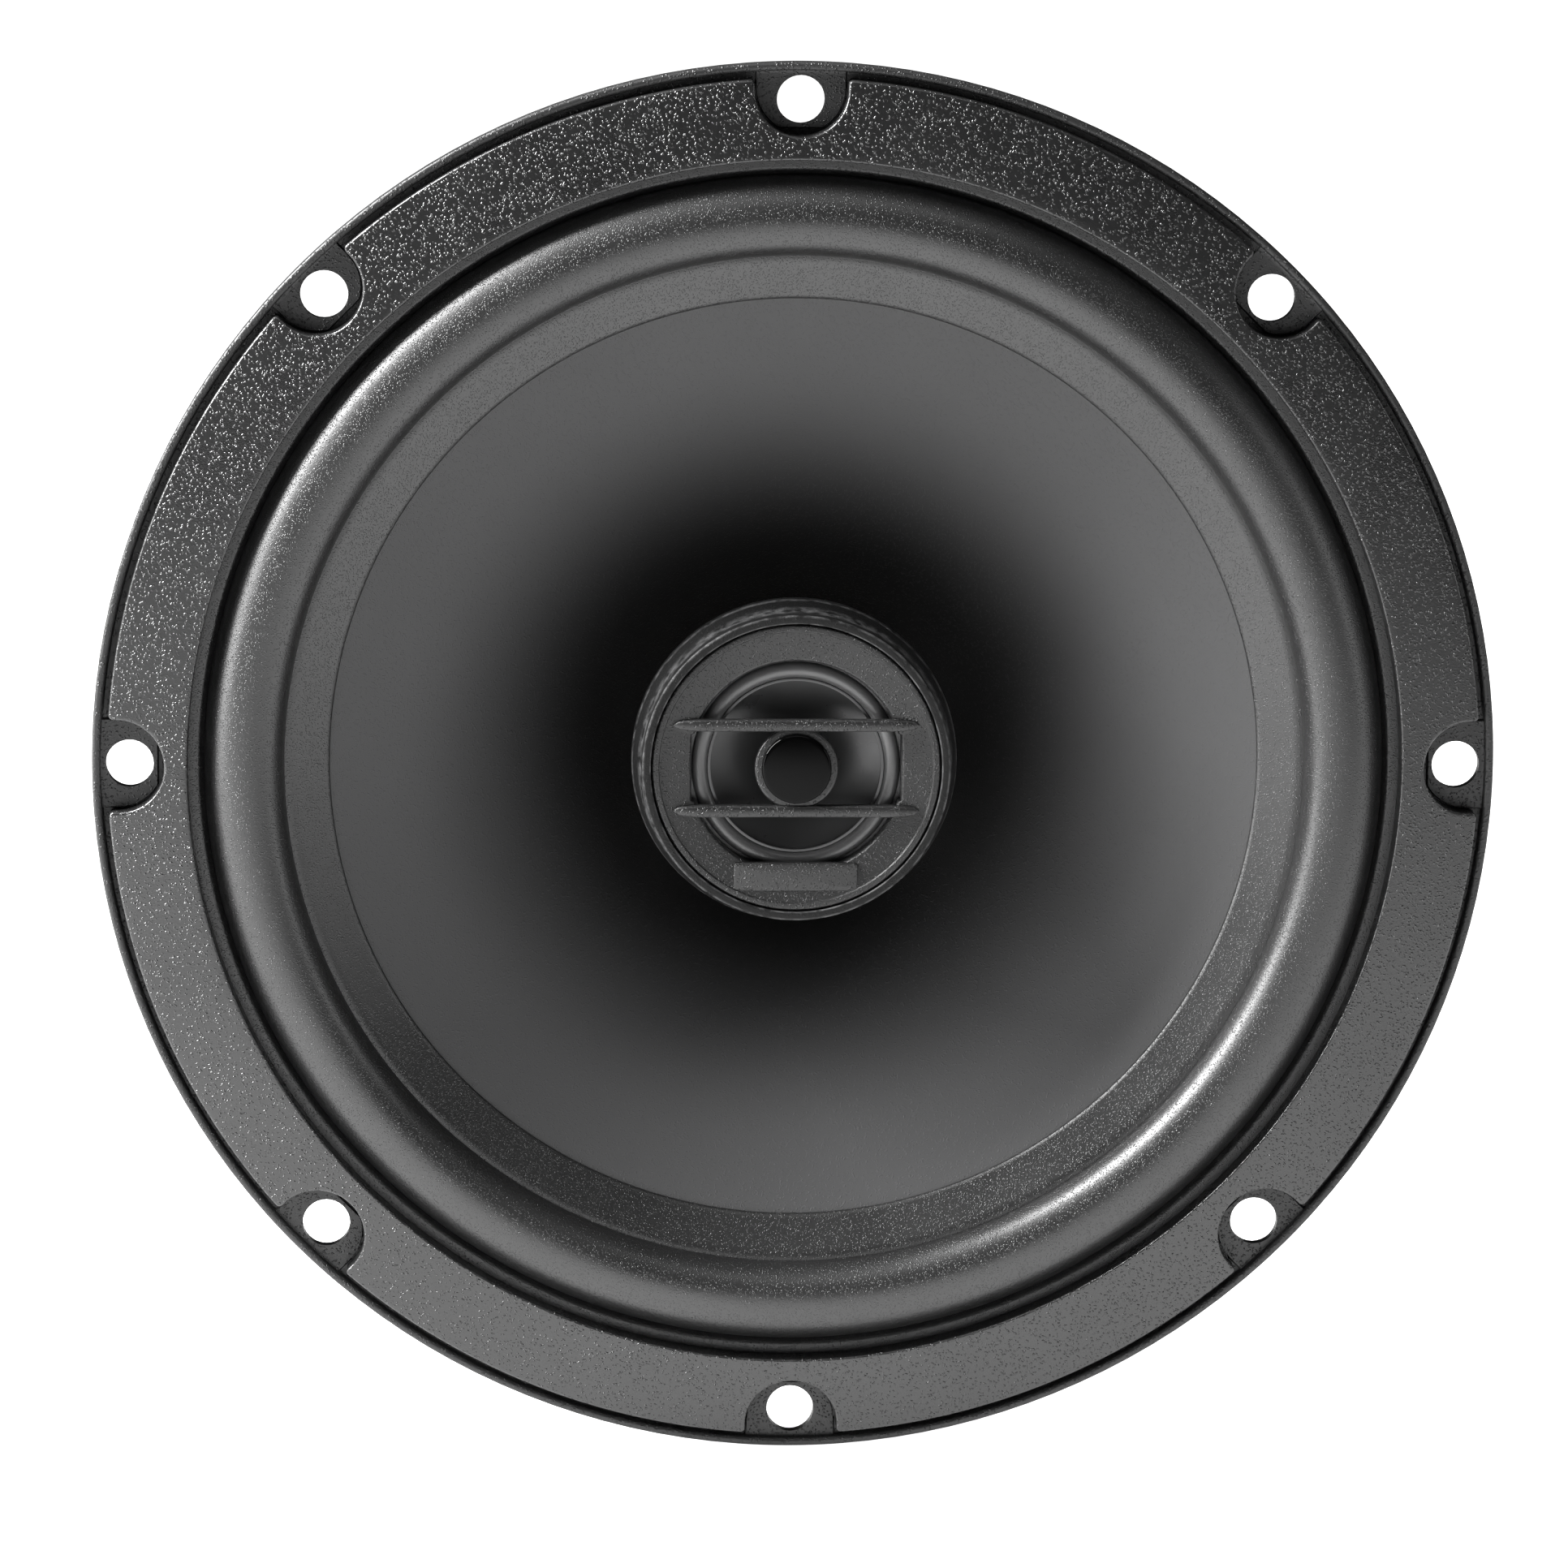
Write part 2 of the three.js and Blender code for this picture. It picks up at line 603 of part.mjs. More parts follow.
function nut() {
  const outline = new THREE.Shape();
  for (let i = 0; i < 6; i++) {
    const angle = turn(6, i);
    const radius = NUT_HALF_FLATS / Math.cos(Math.PI / 6);
    outline[i ? "lineTo" : "moveTo"](radius * Math.cos(angle), radius * Math.sin(angle));
  }
  const blank = slab(outline, nutRearF, nutRearF + NUT_HEIGHT);
  return cut(blank, [pin(POST_THREAD_R, nutRearF - 1, recessF + 1, 0, 0, MEDIUM)]);
}

// ---- Tweeter ----

function tweeterHousing() {
  const socketR = POST_R + 2.5;
  const skirtR = TWEETER_R + SKIRT_FLARE;
  const postTopF = HOUSING_FLOOR_F - HOUSING_FLOOR / 2;
  const profile = [
    [TWEETER_R - 0.3, TWEETER_FRONT_F],
    [TWEETER_R, TWEETER_FRONT_F - 0.4],
    [TWEETER_R, SKIRT_F + 2],
    [skirtR, SKIRT_F],
    [skirtR, SKIRT_F - 1.5],
    [TWEETER_R - 0.8, HOUSING_FLOOR_F],
    [socketR + 3, housingRearF + 0.4],
    [socketR, housingRearF - 0.8],
    [socketR - 0.5, socketRearF],
    [POST_R, socketRearF],
    [POST_R, postTopF],
    [POST_BORE_R, postTopF],
    [POST_BORE_R, HOUSING_FLOOR_F],
    [cavityR, HOUSING_FLOOR_F],
    [cavityR, TWEETER_FRONT_F - 0.2],
    [cavityR + 0.2, TWEETER_FRONT_F],
  ];
  return turned(profile, MEDIUM);
}

const tweeterLandF = faceRearF - DOME_THICKNESS; // ring face that the small surround is glued to
const tweeterMagnetF = HOUSING_FLOOR_F + TWEETER_PLATE_THICKNESS;
const tweeterPlateF = tweeterMagnetF + TWEETER_MAGNET_THICKNESS;
const tweeterPlateFrontF = tweeterPlateF + TWEETER_PLATE_THICKNESS;
const tweeterPoleR = domeR - TWEETER_COIL_GAP;
const tweeterCupInnerR = domeR + TWEETER_COIL_WALL + TWEETER_COIL_GAP;
const tweeterCupR = openingR + 0.4;

function tweeterYoke() {
  const profile = [
    [POST_BORE_R, HOUSING_FLOOR_F],
    [tweeterCupR, HOUSING_FLOOR_F],
    [tweeterCupR, tweeterPlateFrontF],
    [tweeterCupInnerR, tweeterPlateFrontF],
    [tweeterCupInnerR, tweeterMagnetF],
    [POST_BORE_R, tweeterMagnetF],
  ];
  return turned(profile, MEDIUM);
}

const mountingRing = () => tube(cavityR, tweeterCupR, HOUSING_FLOOR_F, tweeterLandF, MEDIUM);
const tweeterMagnet = () =>
  pin(tweeterPoleR - TWEETER_MAGNET_INSET, tweeterMagnetF, tweeterPlateF, 0, 0, MEDIUM);
const polePlate = () => pin(tweeterPoleR, tweeterPlateF, tweeterPlateFrontF, 0, 0, MEDIUM);

function smallCoil() {
  const front = faceRearF + TWEETER_COIL_STEP;
  return tube(domeR + TWEETER_COIL_WALL, domeR, front - TWEETER_COIL_HEIGHT, front, MEDIUM);
}

// Dish of the tweeter, curving back towards the pole plate.
function tweeterDome() {
  const steps = 5;
  const rimF = faceRearF;
  const front = [];
  for (let i = 0; i <= steps; i++) {
    const share = 1 - i / steps;
    front.push([domeR * share, rimF - DOME_DEPTH * (1 - share * share)]);
  }
  const rear = front.map(([radius, f]) => [radius, f - DOME_THICKNESS]).reverse();
  return turned([...front, ...rear], MEDIUM);
}

function tweeterSurround() {
  const landR = openingR + TWEETER_LAND;
  const outerR = smallRollR;
  const innerR = domeR + TWEETER_COIL_WALL;
  const front = [[landR, faceRearF], [outerR, faceRearF]];
  const steps = 4;
  for (let i = 1; i < steps; i++) {
    const angle = (i / steps) * Math.PI;
    const radius = outerR + ((innerR - outerR) * (1 - Math.cos(angle))) / 2;
    front.push([radius, faceRearF + TWEETER_ROLL_HEIGHT * Math.sin(angle)]);
  }
  front.push([innerR, faceRearF]);
  const rear = front.map(([radius, f]) => [radius, f - DOME_THICKNESS]).reverse();
  return turned([...front, ...rear], MEDIUM);
}

const badgeSeatF = TWEETER_FRONT_F - 0.1;

function roundedBar(z) {
  const outline = new THREE.Shape();
  const half = BAR_WIDTH / 2;
  const end = openingR + BAR_OVERLAP - half;
  outline.moveTo(-end, z - half);
  outline.lineTo(end, z - half);
  outline.absarc(end, z, half, -Math.PI / 2, Math.PI / 2);
  outline.lineTo(-end, z + half);
  outline.absarc(-end, z, half, Math.PI / 2, 1.5 * Math.PI);
  return slab(outline, TWEETER_FRONT_F - BAR_DEPTH, TWEETER_FRONT_F + 0.3);
}

// Face plate: a ring with two bars across it, a round seat between them and a blank raised plate.
function facePlate() {
  const ring = [
    [faceR, faceRearF],
    [faceR, TWEETER_FRONT_F - FACE_CHAMFER],
    [faceR - FACE_CHAMFER, TWEETER_FRONT_F - 0.3],
    [openingR + 0.3, TWEETER_FRONT_F - 0.6],
    [openingR, TWEETER_FRONT_F - 0.9],
    [openingR, faceRearF],
  ];
  const seat = pin(SEAT_DISC_R, TWEETER_FRONT_F - BAR_DEPTH, badgeSeatF, 0, 0, MEDIUM);
  const plateFront = TWEETER_FRONT_F - 0.45 + PLATE_RELIEF;
  const plate = block(
    -PLATE_HALF_WIDTH,
    PLATE_HALF_WIDTH,
    PLATE_INSET - openingR - PLATE_HEIGHT,
    PLATE_INSET - openingR,
    TWEETER_FRONT_F - 1.5,
    plateFront,
  );
  return join([turned(ring, MEDIUM), roundedBar(BAR_OFFSET), roundedBar(-BAR_OFFSET), seat, plate]);
}

function badge() {
  const profile = [
    [0, badgeSeatF],
    [BADGE_R, badgeSeatF],
    [BADGE_R, badgeSeatF + BADGE_HEIGHT / 2],
    [BADGE_R * 0.85, badgeSeatF + BADGE_HEIGHT * 0.8],
    [BADGE_R * 0.5, badgeSeatF + BADGE_HEIGHT * 0.95],
    [0, badgeSeatF + BADGE_HEIGHT],
  ];
  return turned(profile, MEDIUM);
}

// ---- Terminals and wiring ----

// Flat tab bent to an L: its base lies on the board and its blade points backwards.
function terminal(x, width) {
  const base = block(
    x - width / 2,
    x + width / 2,
    tabZ,
    tabZ + TERMINAL_BASE,
    boardRearF - TERMINAL_THICKNESS,
    boardRearF,
  );
  const blade = block(
    x - width / 2,
    x + width / 2,
    tabZ,
    tabZ + TERMINAL_THICKNESS,
    boardRearF - TERMINAL_LENGTH,
    boardRearF,
  );
  const hole = pin(TERMINAL_RIVET_R + 0.1, boardRearF - 2, boardRearF + 1, x, terminalZ);
  return cut(join([base, blade]), [hole]);
}

// Rivet with a flat round head at each end.
function rivet(radius, rear, front, x, z) {
  const headR = radius * 1.8;
  const profile = [
    [0, rear - RIVET_HEAD],
    [headR, rear - RIVET_HEAD],
    [headR, rear],
    [radius, rear],
    [radius, front],
    [headR, front],
    [headR, front + RIVET_HEAD],
    [0, front + RIVET_HEAD],
  ];
  return turned(profile, SMALL).translate(x, 0, z);
}

function motorRivet(index) {
  const angle = turn(MOTOR_RIVETS, index, 0.5);
  const headR = MOTOR_RIVET_R * 1.8;
  const profile = [
    [0, magnetF],
    [MOTOR_RIVET_R, magnetF],
    [MOTOR_RIVET_R, seatF],
    [headR, seatF],
    [headR * 0.8, seatF + RIVET_HEAD],
    [0, seatF + RIVET_HEAD],
  ];
  const x = MOTOR_RIVET_PITCH_R * Math.cos(angle);
  const z = MOTOR_RIVET_PITCH_R * Math.sin(angle);
  return turned(profile, SMALL).translate(x, 0, z);
}

function terminalBoard() {
  const plate = block(
    -boardHalfWidth,
    boardHalfWidth,
    -boardBottom,
    -boardTop,
    boardRearF,
    lugRearF,
  );
  const tools = [];
  for (const side of [-1, 1]) {
    tools.push(pin(BOARD_RIVET_R + 0.1, boardRearF - 1, lugRearF + 1, side * BOARD_RIVET_X, boardRivetZ));
    tools.push(pin(TERMINAL_RIVET_R + 0.1, boardRearF - 1, lugRearF + 1, side * terminalX, terminalZ));
  }
  return cut(plate, tools);
}

const capacitorF = boardRearF - RIVET_HEAD - CAPACITOR_R - 0.1;
const capacitorZ = tabZ + TERMINAL_THICKNESS / 2;
const capacitorLeadX = terminalX - POSITIVE_WIDTH / 2 - CLEAR;
const capacitorTailX = CAPACITOR_LENGTH / 2 + 1;

function capacitor() {
  const half = CAPACITOR_LENGTH / 2;
  const points = [
    [0, -capacitorTailX],
    [CAPACITOR_LEAD_R, -capacitorTailX],
    [CAPACITOR_LEAD_R, -half],
    [CAPACITOR_R - 0.4, -half],
    [CAPACITOR_R, 0.4 - half],
    [CAPACITOR_R, half - 0.4],
    [CAPACITOR_R - 0.4, half],
    [CAPACITOR_LEAD_R, half],
    [CAPACITOR_LEAD_R, capacitorLeadX],
    [0, capacitorLeadX],
  ];
  const geometry = new THREE.LatheGeometry(points.map(([r, y]) => new THREE.Vector2(r, y)), SMALL);
  return geometry.rotateZ(-Math.PI / 2).translate(0, -capacitorF, capacitorZ);
}

// Wires of the tweeter: over the motor's side, along the groove and up through the hollow post.
function tweeterWire(side, lead) {
  const x = side * WIRE_SPACING;
  const outZ = -(TOP_PLATE_R + WIRE_R + CLEAR);
  const grooveF = rearF + WIRE_GROOVE_DEPTH - WIRE_R - CLEAR / 2;
  const points = [
    ...lead,
    [x, magnetF - 7, outZ],
    [x, backF + 1, outZ],
    [x, grooveF + 1.5, outZ + 0.2],
    [x, grooveF, outZ + 1.8],
    [x, grooveF, outZ + 5],
    [x, grooveF, outZ / 2],
    [x, grooveF, -3.2],
    [x, grooveF + 0.8, -0.9],
    [x, nutRearF + 2, 0],
    [x, poleTopF, 0],
    [x, HOUSING_FLOOR_F - 0.5, 0],
  ];
  return wire(points, WIRE_R, 44);
}

// Flexible lead from a terminal rivet to the back of the cone beside its neck.
function tinselLead(side) {
  const endR = COIL_R + 4.5;
  const endF = coneFrontF(endR) - CONE_THICKNESS - TINSEL_R - CLEAR;
  const startF = lugRearF + RIVET_HEAD + CLEAR;
  const points = [
    [side * terminalX, startF, terminalZ],
    [side * terminalX, startF + 6.5, terminalZ],
    [side * (terminalX - 0.6), startF + 10.5, terminalZ + 5],
    [side * (terminalX - 3.5), ledgeF + 9.5, -(LEDGE_R * 0.72)],
    [side * 6, ledgeF + 6.5, -(endR + 6)],
    [side * 4, endF, -endR],
  ];
  return wire(points, TINSEL_R, 16);
}

// ---- Assembly ----

add(frame, "basket", basket(), FINISH.blackSteel);
add(frame, "trim_ring", trimRing(), FINISH.trim);
add(frame, "surround", surround(), FINISH.rubber);
add(frame, "spider", spider(), FINISH.cloth);
add(frame, "top_plate", topPlate(), FINISH.zinc);
const magnetHoleR = poleR + MAGNET_POLE_SPACE;
add(frame, "magnet", chamferedRing(MAGNET_R, magnetHoleR, backF, magnetF), FINISH.ferrite);
add(frame, "yoke", yoke(), FINISH.zinc);
for (let i = 0; i < MOTOR_RIVETS; i++) {
  add(frame, "motor_rivet_" + (i + 1), motorRivet(i), FINISH.zinc);
}
add(frame, "tweeter_post", post(), FINISH.plastic);
add(frame, "post_washer", washer(), FINISH.zinc);
add(frame, "post_nut", nut(), FINISH.zinc);

add(moving, "cone", cone(), FINISH.cone);
add(moving, "voice_coil_former", former(), FINISH.former);
add(moving, "voice_coil", winding(), FINISH.copper);

add(frame, "tweeter_housing", tweeterHousing(), FINISH.plastic);
add(frame, "tweeter_mounting_ring", mountingRing(), FINISH.plastic);
add(frame, "tweeter_yoke", tweeterYoke(), FINISH.zinc);
add(frame, "tweeter_magnet", tweeterMagnet(), FINISH.neodymium);
add(frame, "tweeter_pole_plate", polePlate(), FINISH.zinc);
add(frame, "tweeter_surround", tweeterSurround(), FINISH.silk);
add(frame, "tweeter_faceplate", facePlate(), FINISH.plastic);
add(frame, "badge_disc", badge(), FINISH.gloss);
add(tweeterMoving, "tweeter_dome", tweeterDome(), FINISH.dome);
add(tweeterMoving, "tweeter_voice_coil", smallCoil(), FINISH.copper);

add(frame, "terminal_board", terminalBoard(), FINISH.board);
add(frame, "terminal_positive", terminal(terminalX, POSITIVE_WIDTH), FINISH.tin);
add(frame, "terminal_negative", terminal(-terminalX, NEGATIVE_WIDTH), FINISH.tin);
for (const [name, side] of [["positive", 1], ["negative", -1]]) {
  const terminalRear = boardRearF - TERMINAL_THICKNESS;
  add(
    frame,
    "terminal_rivet_" + name,
    rivet(TERMINAL_RIVET_R, terminalRear, lugRearF, side * terminalX, terminalZ),
    FINISH.tin,
  );
  add(
    frame,
    "board_rivet_" + name,
    rivet(BOARD_RIVET_R, boardRearF, ledgeF, side * BOARD_RIVET_X, boardRivetZ),
    FINISH.tin,
  );
  add(frame, "tinsel_lead_" + name, tinselLead(side), FINISH.braid);
}
add(frame, "capacitor", capacitor(), FINISH.sleeve);
// The feed comes from the capacitor's tail, the return from the negative terminal's base.
const feed = [
  [-capacitorTailX - WIRE_R - CLEAR / 2, capacitorF, capacitorZ],
  [-CAPACITOR_LENGTH / 2 - 0.8, capacitorF - 3.5, capacitorZ + 1.5],
  [-3, magnetF - 1.5, capacitorZ + 7],
  [0.4, magnetF - 3.8, capacitorZ + 14],
];
add(frame, "tweeter_wire_feed", tweeterWire(1, feed), FINISH.redWire);
const baseRearF = boardRearF - TERMINAL_THICKNESS;
const returned = [
  [-terminalX + NEGATIVE_WIDTH / 2, baseRearF - WIRE_R - CLEAR / 2, terminalZ + 1],
  [-terminalX + NEGATIVE_WIDTH / 2 + 2.2, baseRearF - 3, terminalZ + 4],
  [-4, magnetF + 0.5, terminalZ + 9],
];
add(frame, "tweeter_wire_return", tweeterWire(-1, returned), FINISH.blackWire);

export default speaker;
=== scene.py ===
# %% [markdown]
# # Building a coaxial car speaker
# A coaxial speaker is a cone driver with a small tweeter standing on a post in its middle. The
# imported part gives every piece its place, in metres, with the front facing -Y and +Z up. This
# lesson gives the pieces their real surfaces and finishes. Almost everything is round, so most
# pieces are a profile turned about the speaker's axis. Lengths are written in millimetres, as a
# speaker maker writes them, and "forward" is the distance in front of the flange's rear face.

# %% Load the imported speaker
import math
import bpy
import numpy as np
from mathutils import Matrix, Vector


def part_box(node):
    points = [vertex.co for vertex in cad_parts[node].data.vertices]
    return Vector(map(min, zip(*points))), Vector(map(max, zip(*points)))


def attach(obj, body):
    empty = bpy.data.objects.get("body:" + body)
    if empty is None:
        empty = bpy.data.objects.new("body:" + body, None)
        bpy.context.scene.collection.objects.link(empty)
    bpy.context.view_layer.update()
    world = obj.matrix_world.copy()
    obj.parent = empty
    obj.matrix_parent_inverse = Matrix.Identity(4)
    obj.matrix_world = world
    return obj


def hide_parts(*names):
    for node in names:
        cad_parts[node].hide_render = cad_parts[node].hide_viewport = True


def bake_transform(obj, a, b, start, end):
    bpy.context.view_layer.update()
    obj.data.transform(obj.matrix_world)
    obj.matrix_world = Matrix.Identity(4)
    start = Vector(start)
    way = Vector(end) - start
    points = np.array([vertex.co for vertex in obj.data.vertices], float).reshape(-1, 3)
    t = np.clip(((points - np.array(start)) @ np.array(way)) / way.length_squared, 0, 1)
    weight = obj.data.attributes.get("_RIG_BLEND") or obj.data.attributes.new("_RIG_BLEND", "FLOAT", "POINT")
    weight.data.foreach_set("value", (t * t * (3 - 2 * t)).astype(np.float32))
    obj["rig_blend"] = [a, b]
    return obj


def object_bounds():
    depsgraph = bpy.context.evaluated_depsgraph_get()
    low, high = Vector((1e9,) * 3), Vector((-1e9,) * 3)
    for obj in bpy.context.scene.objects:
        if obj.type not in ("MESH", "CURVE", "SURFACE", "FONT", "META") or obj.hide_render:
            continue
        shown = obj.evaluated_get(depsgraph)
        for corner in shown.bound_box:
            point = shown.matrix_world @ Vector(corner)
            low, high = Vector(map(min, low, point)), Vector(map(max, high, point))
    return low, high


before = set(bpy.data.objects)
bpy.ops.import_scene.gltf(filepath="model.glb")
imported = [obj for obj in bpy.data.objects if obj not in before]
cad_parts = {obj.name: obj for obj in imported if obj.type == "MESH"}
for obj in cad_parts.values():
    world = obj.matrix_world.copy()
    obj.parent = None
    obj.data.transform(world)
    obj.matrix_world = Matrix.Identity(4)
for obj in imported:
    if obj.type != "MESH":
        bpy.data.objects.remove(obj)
packed_low, packed_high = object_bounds()
MM = 0.001
print("box:", [round(v / MM, 1) for v in packed_low], [round(v / MM, 1) for v in packed_high])


# %% [markdown]
# ## Camera, floor and light
# The camera comes first, because every finish is judged through it. A long lens from about 0.84 m
# keeps the round flange almost free of perspective. It looks slightly down and from a little left.

# %% Camera
LENS_TARGET = np.array([0.0, -0.6, 0.0]) * MM  # centre of the flange's rim
CAMERA_OFFSET = np.array([-37.9, -823.9, 138.4]) * MM
CAMERA_ROLL = math.radians(0.49)
SENSOR_MM, LENS_MM, SHIFT = 36.0, 162.93, (-0.0070, -0.0137)

camera_data = bpy.data.cameras.new("studio_camera")
camera_data.sensor_width, camera_data.lens = SENSOR_MM, LENS_MM
camera_data.shift_x, camera_data.shift_y = SHIFT
camera_data.clip_start, camera_data.clip_end = 0.01, 60.0
camera = bpy.data.objects.new("studio_camera", camera_data)
bpy.context.scene.collection.objects.link(camera)
bpy.context.scene.camera = camera
look = Vector((-CAMERA_OFFSET).tolist()).to_track_quat("-Z", "Y")
roll = Matrix.Rotation(CAMERA_ROLL, 3, "Z").to_quaternion()
camera.location = (LENS_TARGET + CAMERA_OFFSET).tolist()
camera.rotation_mode = "QUATERNION"
camera.rotation_quaternion = look @ roll
print("camera distance:", round(float(np.linalg.norm(CAMERA_OFFSET)) / MM), "mm")

# %% [markdown]
# Finishes, the floor's among them, are trees of nodes. One helper places a node, sets its inputs
# and links them, so that each tree reads like a formula.


# %% Node helper
def node(tree, kind, settings=None, **inputs):
    """New node; inputs are values or sockets to link, with _ for a space or _0 for a number."""
    made = tree.nodes.new(kind)
    for key, value in (settings or {}).items():
        setattr(made, key, value)
    for key, value in inputs.items():
        slot = made.inputs[int(key[1:])] if key[1:].isdigit() else made.inputs[key.replace("_", " ")]
        if isinstance(value, bpy.types.NodeSocket):
            tree.links.new(value, slot)
        else:
            slot.default_value = value
    return made


print("node helper ready")

# %% [markdown]
# The floor is a plain white sweep. The camera sees it glow evenly, which keeps it pale right to
# the horizon. What it gives to the speaker is another matter: a full glow everywhere would light
# the whole front from below, so its glow falls off with distance, and close to the speaker it
# lifts the underside as a white table does.

# %% Floor
FLOOR_Z, FLOOR_HALF, FLOOR_GREY = packed_low.z, 9.0, 0.48
GLOW_SEEN, GLOW_NEAR, GLOW_FAR = 1.1, 0.85, 0.08
GLOW_START, GLOW_END = 0.12, 0.9  # distance from the middle over which the glow falls, in metres
floor_mesh = bpy.data.meshes.new("studio_floor")
corners = np.array([[-1, -1], [1, -1], [1, 1], [-1, 1]]) * FLOOR_HALF
floor_points = np.column_stack([corners, np.full(4, FLOOR_Z)])
floor_mesh.from_pydata(floor_points.tolist(), [], [(0, 1, 2, 3)])
floor = bpy.data.objects.new("studio_floor", floor_mesh)
bpy.context.scene.collection.objects.link(floor)

floor_paint = bpy.data.materials.new("studio_floor_paint")
floor_paint.use_nodes = True
tree = floor_paint.node_tree
floor_shader = tree.nodes["Principled BSDF"]
floor_shader.inputs["Base Color"].default_value = (FLOOR_GREY, FLOOR_GREY, FLOOR_GREY, 1)
floor_shader.inputs["Roughness"].default_value = 0.9
floor_shader.inputs["Specular IOR Level"].default_value = 0.2
floor_shader.inputs["Emission Color"].default_value = (1, 1, 1, 1)
place = node(tree, "ShaderNodeTexCoord").outputs["Object"]
distance = node(tree, "ShaderNodeVectorMath", {"operation": "LENGTH"}, _0=place).outputs["Value"]
near_glow = node(
    tree, "ShaderNodeMapRange", {"interpolation_type": "SMOOTHSTEP"}, Value=distance,
    From_Min=GLOW_START, From_Max=GLOW_END, To_Min=GLOW_NEAR, To_Max=GLOW_FAR,
)
seen = node(tree, "ShaderNodeLightPath").outputs["Is Camera Ray"]
glow = node(tree, "ShaderNodeMix", _0=seen, _2=near_glow.outputs[0], _3=GLOW_SEEN)
tree.links.new(glow.outputs[0], floor_shader.inputs["Emission Strength"])
floor_mesh.materials.append(floor_paint)
print("floor at", round(FLOOR_Z / MM, 1), "mm")

# %% [markdown]
# One large soft light stands at the upper left and makes the long highlights on the rubber roll.
# A low one on the left fills the lower rim, and weak ones right and above keep the other side from
# going black. The room is white to the camera only: it hardly lights the speaker, so that black
# plastic stays black.

# %% Room
ROOM_SEEN, ROOM_LIGHTS = 1.1, 0.02
bpy.context.scene.view_settings.view_transform = "Standard"
room = bpy.data.worlds.new("white_room")
room.use_nodes = True
tree = room.node_tree
seen = node(tree, "ShaderNodeLightPath").outputs["Is Camera Ray"]
backdrop = node(tree, "ShaderNodeMapRange", Value=seen, To_Min=ROOM_LIGHTS, To_Max=ROOM_SEEN)
tree.links.new(backdrop.outputs[0], tree.nodes["Background"].inputs["Strength"])
tree.nodes["Background"].inputs["Color"].default_value = (1, 1, 1, 1)
bpy.context.scene.world = room
print("room:", room.name)


# %% Lights
def soft_light(name, azimuth, elevation, distance, width, height, watts):
    """Rectangular light at an azimuth and elevation in degrees round the speaker, facing it."""
    turn, rise = math.radians(azimuth), math.radians(elevation)
    away = Vector((math.sin(turn) * math.cos(rise), -math.cos(turn) * math.cos(rise), math.sin(rise)))
    data = bpy.data.lights.new(name, "AREA")
    data.shape, data.size, data.size_y = "RECTANGLE", width, height
    data.energy = watts
    light = bpy.data.objects.new(name, data)
    light.location = away * distance
    light.rotation_mode = "QUATERNION"
    light.rotation_quaternion = (-away).to_track_quat("-Z", "Y")
    bpy.context.scene.collection.objects.link(light)


soft_light("key_softbox", -86, 39, 1.1, 0.4, 0.75, 72)
soft_light("left_fill", -74, 4, 1.2, 0.35, 0.5, 7)
soft_light("right_strip", 66, 6, 1.2, 0.3, 0.8, 2.5)
soft_light("top_softbox", 6, 60, 1.2, 0.9, 0.4, 1.5)

# %% [markdown]
# ## Helpers for surfaces
# A turned piece is a grid: one parameter runs along the profile, the other round the axis. The
# points come out of numpy as whole arrays, and the faces join each point with its neighbours.


# %% Grids and profiles
def on_axis(radius, angle, forward):
    """x = radius cos(angle), z = radius sin(angle), y = -forward, from millimetres to metres."""
    radius, angle, forward = np.broadcast_arrays(radius, angle, forward)
    return np.stack([radius * np.cos(angle), -forward, radius * np.sin(angle)], -1) * MM


def grid_faces(rows, columns, wrap_rows=False, wrap_columns=True, first=0):
    """Quads of a grid of rows x columns points: each joins point (i, j) with its next neighbours."""
    i, j = np.meshgrid(
        np.arange(rows - (not wrap_rows)), np.arange(columns - (not wrap_columns)), indexing="ij"
    )
    i2, j2 = (i + 1) % rows, (j + 1) % columns
    corners = [i * columns + j, i2 * columns + j, i2 * columns + j2, i * columns + j2]
    return first + np.stack(corners, -1).reshape(-1, 4)


def fan_faces(pole, ring, columns):
    """Triangles between a pole point and the ring of points that starts at index ring."""
    j = np.arange(columns)
    return np.stack([np.full(columns, pole), ring + (j + 1) % columns, ring + j], -1)


def capped_faces(rows, columns):
    """Faces of a grid whose first and last rows close in two end points, kept after the grid's."""
    ends = rows * columns
    return [
        grid_faces(rows, columns), fan_faces(ends, 0, columns)[:, ::-1],
        fan_faces(ends + 1, (rows - 1) * columns, columns),
    ]


def rounded(corners, setback, closed=True, steps=4):
    """Rounds each corner C by the curve (1-t)^2 A + 2t(1-t) C + t^2 B, where A and B lie the
    setback away from C on its two sides. Returns the points and a weight that is 1 mid-corner."""
    c = np.asarray(corners, float)
    before, after = np.roll(c, 1, 0) - c, np.roll(c, -1, 0) - c
    reach = np.broadcast_to(np.asarray(setback, float), len(c))[:, None]
    lengths = [np.linalg.norm(d, axis=1, keepdims=True) for d in (before, after)]
    near = c + before / lengths[0] * np.minimum(reach, lengths[0] * 0.45)
    far = c + after / lengths[1] * np.minimum(reach, lengths[1] * 0.45)
    t = np.linspace(0, 1, steps + 1)[None, :, None]
    curve = (1 - t) ** 2 * near[:, None] + 2 * t * (1 - t) * c[:, None] + t**2 * far[:, None]
    weight = np.broadcast_to(4 * t[..., 0] * (1 - t[..., 0]), curve.shape[:2]).copy()
    if closed:
        return curve.reshape(-1, 2), weight.ravel()
    points = np.vstack([c[:1], curve[1:-1].reshape(-1, 2), c[-1:]])
    return points, np.concatenate([[0], weight[1:-1].ravel(), [0]])


